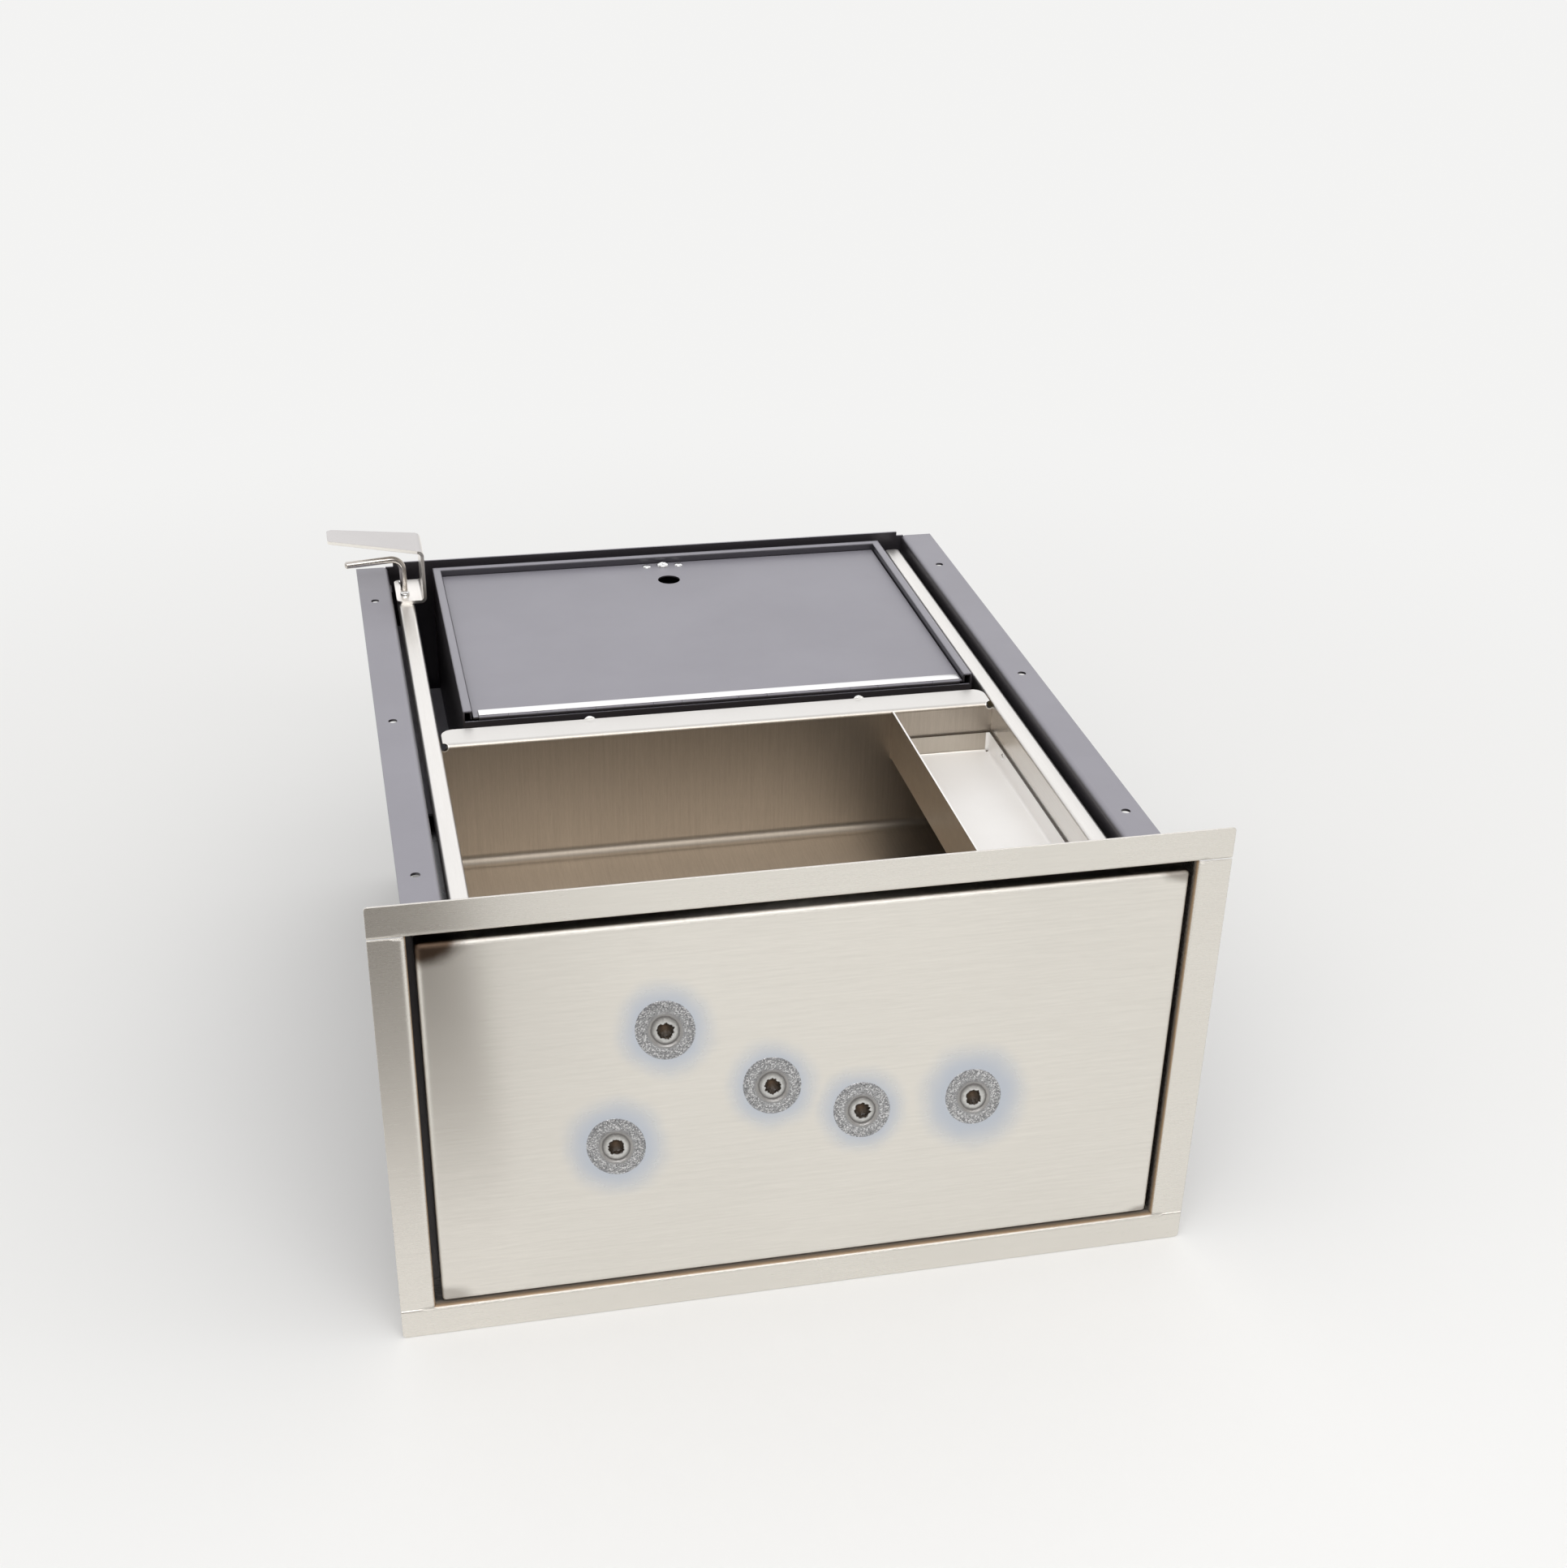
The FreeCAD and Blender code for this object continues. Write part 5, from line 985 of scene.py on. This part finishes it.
def spring_tree():
    """A swept spiral with closed end turns, one on each point."""
    tree, get, end = new_group(
        "Coil spring", "GeometryNodeTree",
        {"Seats": "Geometry", "Coil Radius": 0.004, "Wire Radius": 0.0006, "Length": 0.021, "Turns": 7.5, "Seed": 1,
         "Finish": "Material"}, {"Springs": "Geometry"})
    spiral = add(tree, "GeometryNodeCurveSpiral", {"Resolution": 28, "Rotations": get["Turns"],
                                                   "Start Radius": get["Coil Radius"],
                                                   "End Radius": get["Coil Radius"], "Height": get["Length"]})
    x, y, _ = parts_of(position(tree))
    line = move_points(tree, spiral.outputs[0], Position=vector_of(x, y, spring_height(tree, get)))
    wire = add(tree, "GeometryNodeCurvePrimitiveCircle", {"Resolution": 12, "Radius": get["Wire Radius"]}).outputs[0]
    coil = add(tree, "GeometryNodeCurveToMesh", {"Curve": line, "Profile Curve": wire, "Fill Caps": True}).outputs[0]
    return finish_tree(tree, stand_on_points(tree, get["Seats"], coil, get["Seed"]), get["Finish"], end)


SPRING = spring_tree()

# %% [markdown]
# The spring is grown once between the rod's collar and the underside of the rail, and is
# fixed where it stands, tied to no body.

# %% The rod's spring
ROD_X, ROD_Y, COLLAR_TOP, RAIL_UNDERSIDE = -237.9, 306.05, 298.0, 319.0
PLAY = 0.02     # mm of air at each end
grow("rod_spring", SPRING, [(ROD_X, ROD_Y, COLLAR_TOP + PLAY, UP)],
     {"Coil Radius": 3.94 * MM, "Wire Radius": 0.55 * MM, "Length": (RAIL_UNDERSIDE - COLLAR_TOP - 2 * PLAY) * MM,
      "Seed": 14, "Finish": FINISH["spring_steel"]}, "latch_rod", "spring_steel", ["latch_spring"], sharp=60,
     reach_to=("drawer", (ROD_X * MM, ROD_Y * MM, COLLAR_TOP * MM), (ROD_X * MM, ROD_Y * MM, RAIL_UNDERSIDE * MM)))

# %% [markdown]
# ## The strip over the hinge
#
# A bright flat strip runs over the hinge's knuckles, so that a coin can't wedge between them.
# It could be a thin cube with sharp edges.  Rolled strip has soft corners, so the slab below
# is built with bmesh and all its edges are bevelled before it gets its place.

# %% Hinge strip
def rolled_slab(name, low, high, radius, finish, body, slot):
    """A closed slab between two corners in mm, with every edge rounded."""
    mesh = bpy.data.meshes.new(name)
    shape = bmesh.new()
    bmesh.ops.create_cube(shape, size=1.0)
    for vertex in shape.verts:
        vertex.co = Vector([(a + (share + 0.5) * (b - a)) * MM for a, b, share in zip(low, high, vertex.co)])
    bmesh.ops.bevel(shape, geom=shape.edges[:], offset=radius * MM, segments=3, profile=0.5, affect="EDGES")
    bmesh.ops.recalc_face_normals(shape, faces=shape.faces[:])
    shape.to_mesh(mesh)
    shape.free()
    mesh.materials.append(finish)
    add_piece(name, mesh, body, slot)


rolled_slab("hinge_cover_strip", (-196.3, 21.2, 325.15), (213.4, 30.9, 325.75), 0.28, FINISH["hinge_strip"], "lid",
            "zinc_plate")

# %% [markdown]
# ## Five test strikes in the front
#
# The front is an armour plate behind a thin skin, and this one has stopped five shots.  Each
# left the same mark: heat tints the brushed steel blue in a soft halo, lead spatter leaves a
# coarse grey ring, and in the middle the skin is torn back in a pale, ragged lip round a
# pit.  Painting all that as colour would look printed.  The halo is only colour, so it is a
# mask in the skin's material; the ring, the lip and the pit have depth, so they are modelled.

# %% Group: heat halo
STRIKES = [  # x, z, reach of the halo, in mm
    (-106.2, 249.2, 33.0), (-28.7, 191.5, 31.5), (39.1, 160.5, 31.0), (124.2, 160.8, 39.0), (-142.7, 153.2, 35.5)]
FACE_Y = -349.25
LEAN, STRETCH = (0.30, 0.0, -0.954), 1.2    # the marks are a little longer one way


def heat_group():
    """A soft oval mask: 1 at the centre, 0 beyond the reach, longer along the lean."""
    tree, get, end = new_group(
        "Heat halo", "ShaderNodeTree",
        {"Vector": "Vector", "Centre": (0, 0, 0), "Lean": (0, 0, 1), "Stretch": 1.0, "Reach": 0.03}, {"Mask": "Float"})
    away = vector_node("SUBTRACT", get["Vector"], get["Centre"])
    along = vector_node("DOT_PRODUCT", away, get["Lean"])
    shorter = math_node("SUBTRACT", math_node("DIVIDE", 1.0, get["Stretch"]), 1.0)
    pull = vector_node("SCALE", get["Lean"], scale=times(along, shorter))
    far = vector_node("LENGTH", vector_node("ADD", away, pull))
    far = math_node("MULTIPLY_ADD", swing(get["Vector"], 45.0, 4.0), 0.008, far)
    outer, inner = (times(get["Reach"], share) for share in (1.22, 0.56))
    feed(end, {"Mask": spread(far, outer, inner)})
    return tree


HEAT = heat_group()
print("group", HEAT.name, "for", len(STRIKES), "strikes")

# %% [markdown]
# The same oval serves for the corners, where a straw-brown painted shade darkens the skin,
# most of all at the upper left.

# %% The front skin
SHADED_CORNERS = [  # x, z, reach in mm, strength
    (-277.0, 340.0, 23.0, 0.97), (-277.0, 30.0, 16.0, 0.40), (276.0, 341.0, 15.0, 0.55), (272.0, 28.0, 11.0, 0.45)]


def tempered_skin():
    """The front's brushed steel with a blue halo round every strike and a straw-brown painted shade at each corner."""
    material = steel("stainless_front", "x", roughness=0.23, contrast=0.45, edge=0.0045, anisotropy=0.95,
                     depth=0.00001)
    tree, shader = material.node_tree, shader_of(material)

    def oval_at(x, z, reach, lean, stretch):
        return place_group(tree, HEAT, {"Vector": own_place(material)["Object"], "Lean": lean, "Stretch": stretch,
                                        "Centre": (x * MM, FACE_Y * MM, z * MM), "Reach": reach * MM})["Mask"]

    # painted shade at the corners, strongest at the upper left
    for x, z, reach, strength in SHADED_CORNERS:
        mask = oval_at(x, z, reach, (1, 0, 0), 1.7)
        recolour(material, times(mask, mask, strength), rgb(80, 62, 48))
    halo = 0.0
    for x, z, reach in STRIKES:
        halo = math_node("MAXIMUM", halo, oval_at(x, z, reach, LEAN, STRETCH))
    recolour(material, halo, rgb(197, 203, 214))
    feed(shader, {"Roughness": math_node("MULTIPLY_ADD", halo, 0.10, fed_by(shader.inputs["Roughness"]))})
    return material


FINISH["stainless_front"] = tempered_skin()
dress("front_skin", FINISH["stainless_front"])
print("front skin dressed, with", len(SHADED_CORNERS), "painted corner shades")

# %% [markdown]
# The pits are one round sheet of rings.  A Float Curve gives each ring its height, as a turner
# would read a profile off a drawing, and a second curve gives the back of the sheet, so that
# the shell is closed.

# %% The profile of a pit
PIT_REACH = 20.4    # mm from the middle to the drawn profile's rim
PROFILE = [(0, -4.2), (1.4, -3.9), (2.6, -3.1), (3.6, -2.2), (4.5, -1.3), (5.3, 0.6), (6.0, 1.1), (7.1, 1.0),
           (8.3, 0.65), (9.0, 0.35), (9.7, 0.05), (10.4, 0.25), (11.0, 1.15), (11.6, 1.25), (12.3, 0.65),
           (13.4, 0.4), (15.3, 0.5), (17.2, 0.45), (19.0, 0.45), (19.9, 0.25), (20.4, -0.3)]
BACK = [(0, -4.9), (1.7, -4.5), (3.0, -3.7), (4.2, -2.8), (5.4, -1.7), (9.2, -0.8), (20.4, -0.6)]
LOW, HIGH = -6.0, 2.0    # mm, the heights at the curve's 0 and 1


def profile_curve(tree, share, profile):
    """Heights of a lathe profile in metres, read at a share of the reach."""
    made = add(tree, "ShaderNodeFloatCurve", {"Value": share})
    curve = made.mapping.curves[0]
    while len(curve.points) < len(profile):
        curve.points.new(0.5, 0.5)
    for point, (r, h) in zip(curve.points, profile):
        point.location = (r / PIT_REACH, (h - LOW) / (HIGH - LOW))
        point.handle_type = "AUTO_CLAMPED"
    made.mapping.update()
    return spread(made.outputs[0], 0.0, 1.0, LOW * MM, HIGH * MM, smooth=False)


def lathed_shell(tree, get):
    """The closed round shell; it remembers each point's share of the reach and its side."""
    shell = ringed_disc(tree, get["Around"], get["Rings"], get["Reach"], 0.001)
    radius, place = lathe_place(tree)
    share = math_node("DIVIDE", radius, get["Reach"], clamp=True)
    in_front = is_above(place[2], 0.0)
    height = add(tree, "GeometryNodeSwitch", {"Switch": in_front, "False": profile_curve(tree, share, BACK),
                                              "True": profile_curve(tree, share, PROFILE)},
                 input_type="FLOAT").outputs[0]
    for name, value in (("zone", share), ("front", in_front)):
        shell = add(tree, "GeometryNodeStoreNamedAttribute", {"Geometry": shell, "Name": name, "Value": value},
                    data_type="FLOAT", domain="POINT").outputs[0]
    return move_points(tree, shell, Position=vector_of(place[0], place[1], height))


print("profile with", len(PROFILE), "points in front,", len(BACK), "behind")

# %% [markdown]
# After the five copies are in place, they are drawn out along the lean, and then noise pushes
# the lip in and out and roughens the ring.  Because the noise reads each point's own place,
# no two are alike.

# %% Geometry Nodes: struck pits
def torn_and_gritty(tree, get, away):
    """The push of each point: the lip in and out, the ring up and down."""
    zone, here = attribute(tree, "zone", "FLOAT"), position(tree)
    spoke = vector_node("NORMALIZE", vector_node("MULTIPLY", away, (1, 0, 1)))
    near_lip = times(spread(zone, 0.10, 0.24), spread(zone, 0.45, 0.30))
    push = times(swing(here, 420.0, 3.0, 0.7), times(near_lip, get["Tear"]), 2.0)
    on_ring = times(spread(zone, 0.54, 0.62), spread(zone, 0.995, 0.97))
    gritty = math_node("ADD", on_ring, times(near_lip, 0.5))
    grit = times(gritty, times(attribute(tree, "front", "FLOAT"), get["Grit"]))
    rise = times(swing(here, 900.0, 2.0, 0.8), grit, -1.0)
    return vector_node("ADD", vector_node("SCALE", spoke, scale=push), vector_of(y=rise))


def pit_tree():
    """Closed round shells with a torn lip, one on each point."""
    tree, get, end = new_group(
        "Struck pits", "GeometryNodeTree",
        {"Seats": "Geometry", "Reach": PIT_REACH * MM, "Rings": 43, "Around": 84, "Tear": 0.0034, "Grit": 0.0007,
         "Lean": LEAN, "Stretch": STRETCH, "Seed": 4, "Finish": "Material"}, {"Pits": "Geometry"})
    pits = stand_on_points(tree, get["Seats"], lathed_shell(tree, get), get["Seed"])
    away = vector_node("SUBTRACT", position(tree), attribute(tree, "heart"))
    longer = times(vector_node("DOT_PRODUCT", away, get["Lean"]), math_node("SUBTRACT", get["Stretch"], 1.0))
    pits = move_points(tree, pits, Offset=vector_node("SCALE", get["Lean"], scale=longer))
    pits = move_points(tree, pits, Offset=torn_and_gritty(tree, get, away))
    return finish_tree(tree, pits, get["Finish"], end)


PITS = pit_tree()

# %% [markdown]
# The struck steel's colour follows the `zone` attribute that the tree stored: dark brown in
# the pit, bare pale metal on the lip, a dark band of painted shade in the groove between lip
# and ring, and dull lead grey on the ring with dark grit and bright specks of painted glint.

# %% Struck steel
PIT_TO_RING_TONES = [  # share of the reach, tone
    (0.0, (92, 70, 48)), (0.16, (66, 54, 42)), (0.262, (54, 46, 38)), (0.285, (214, 214, 214)),
    # the dip at 0.46 is painted shade in the groove between lip and ring
    (0.355, (198, 198, 197)), (0.41, (164, 163, 162)), (0.46, (118, 116, 116)), (0.51, (182, 180, 179)),
    (0.58, (158, 158, 160)), (0.66, (168, 169, 172)), (0.90, (152, 153, 156)), (1.0, (164, 166, 172))]


def struck_steel():
    """Colours by ring, with painted shade in the groove, grit, and painted glints."""
    material, tree, shader, where = new_material("struck_steel")
    zone = add(tree, "ShaderNodeAttribute", attribute_name="zone").outputs["Fac"]
    blotch = swing(where, 260.0, 4.0, 0.7)
    ramp = add(tree, "ShaderNodeValToRGB", {"Fac": math_node("MULTIPLY_ADD", blotch, 0.07, zone)})
    elements = ramp.color_ramp.elements
    while len(elements) < len(PIT_TO_RING_TONES):
        elements.new(0.5)
    for element, (share, tone) in zip(elements, PIT_TO_RING_TONES):
        element.position, element.color = share, rgb(*tone)
    specks = add(tree, "ShaderNodeTexVoronoi", {"Vector": where, "Scale": 1300.0}).outputs
    picks = add(tree, "ShaderNodeSeparateColor", {0: specks["Color"]}).outputs
    on_ring = spread(zone, 0.56, 0.66)
    tone = ramp.outputs[0]
    # dark grit, then bright specks painted as glints
    for pick, strength, speck in ((spread(picks[1], 0.55, 0.75), 0.60, rgb(100, 99, 102)),
                                  (spread(picks[0], 0.66, 0.80), 0.75, rgb(232, 232, 235))):
        tone = blend_colours(times(pick, on_ring, strength), tone, speck)
    smooth = add(tree, "ShaderNodeNewGeometry").outputs["Normal"]
    clouded(tree, where, tone, 0.42, 120.0, 0.12, bump(specks["Distance"], 0.6, 0.0003, smooth))
    feed(shader, {"Metallic": spread(zone, 0.22, 0.27)})
    return material


FINISH["struck_steel"] = struck_steel()
print("struck steel with", len(PIT_TO_RING_TONES), "tones")

# %% [markdown]
# The five pits are grown a twentieth wider than the profile is drawn.  Their rims dip under
# the skin, so that no gap shows round them.

# %% The five pits
GROWN_REACH = 21.4
grow("struck_pits", PITS, [(x, FACE_Y, z, OUTSIDE) for x, z, reach in STRIKES],
     {"Finish": FINISH["struck_steel"], "Seed": 4, "Reach": GROWN_REACH * MM}, "drawer", "armour_steel", sharp=75)
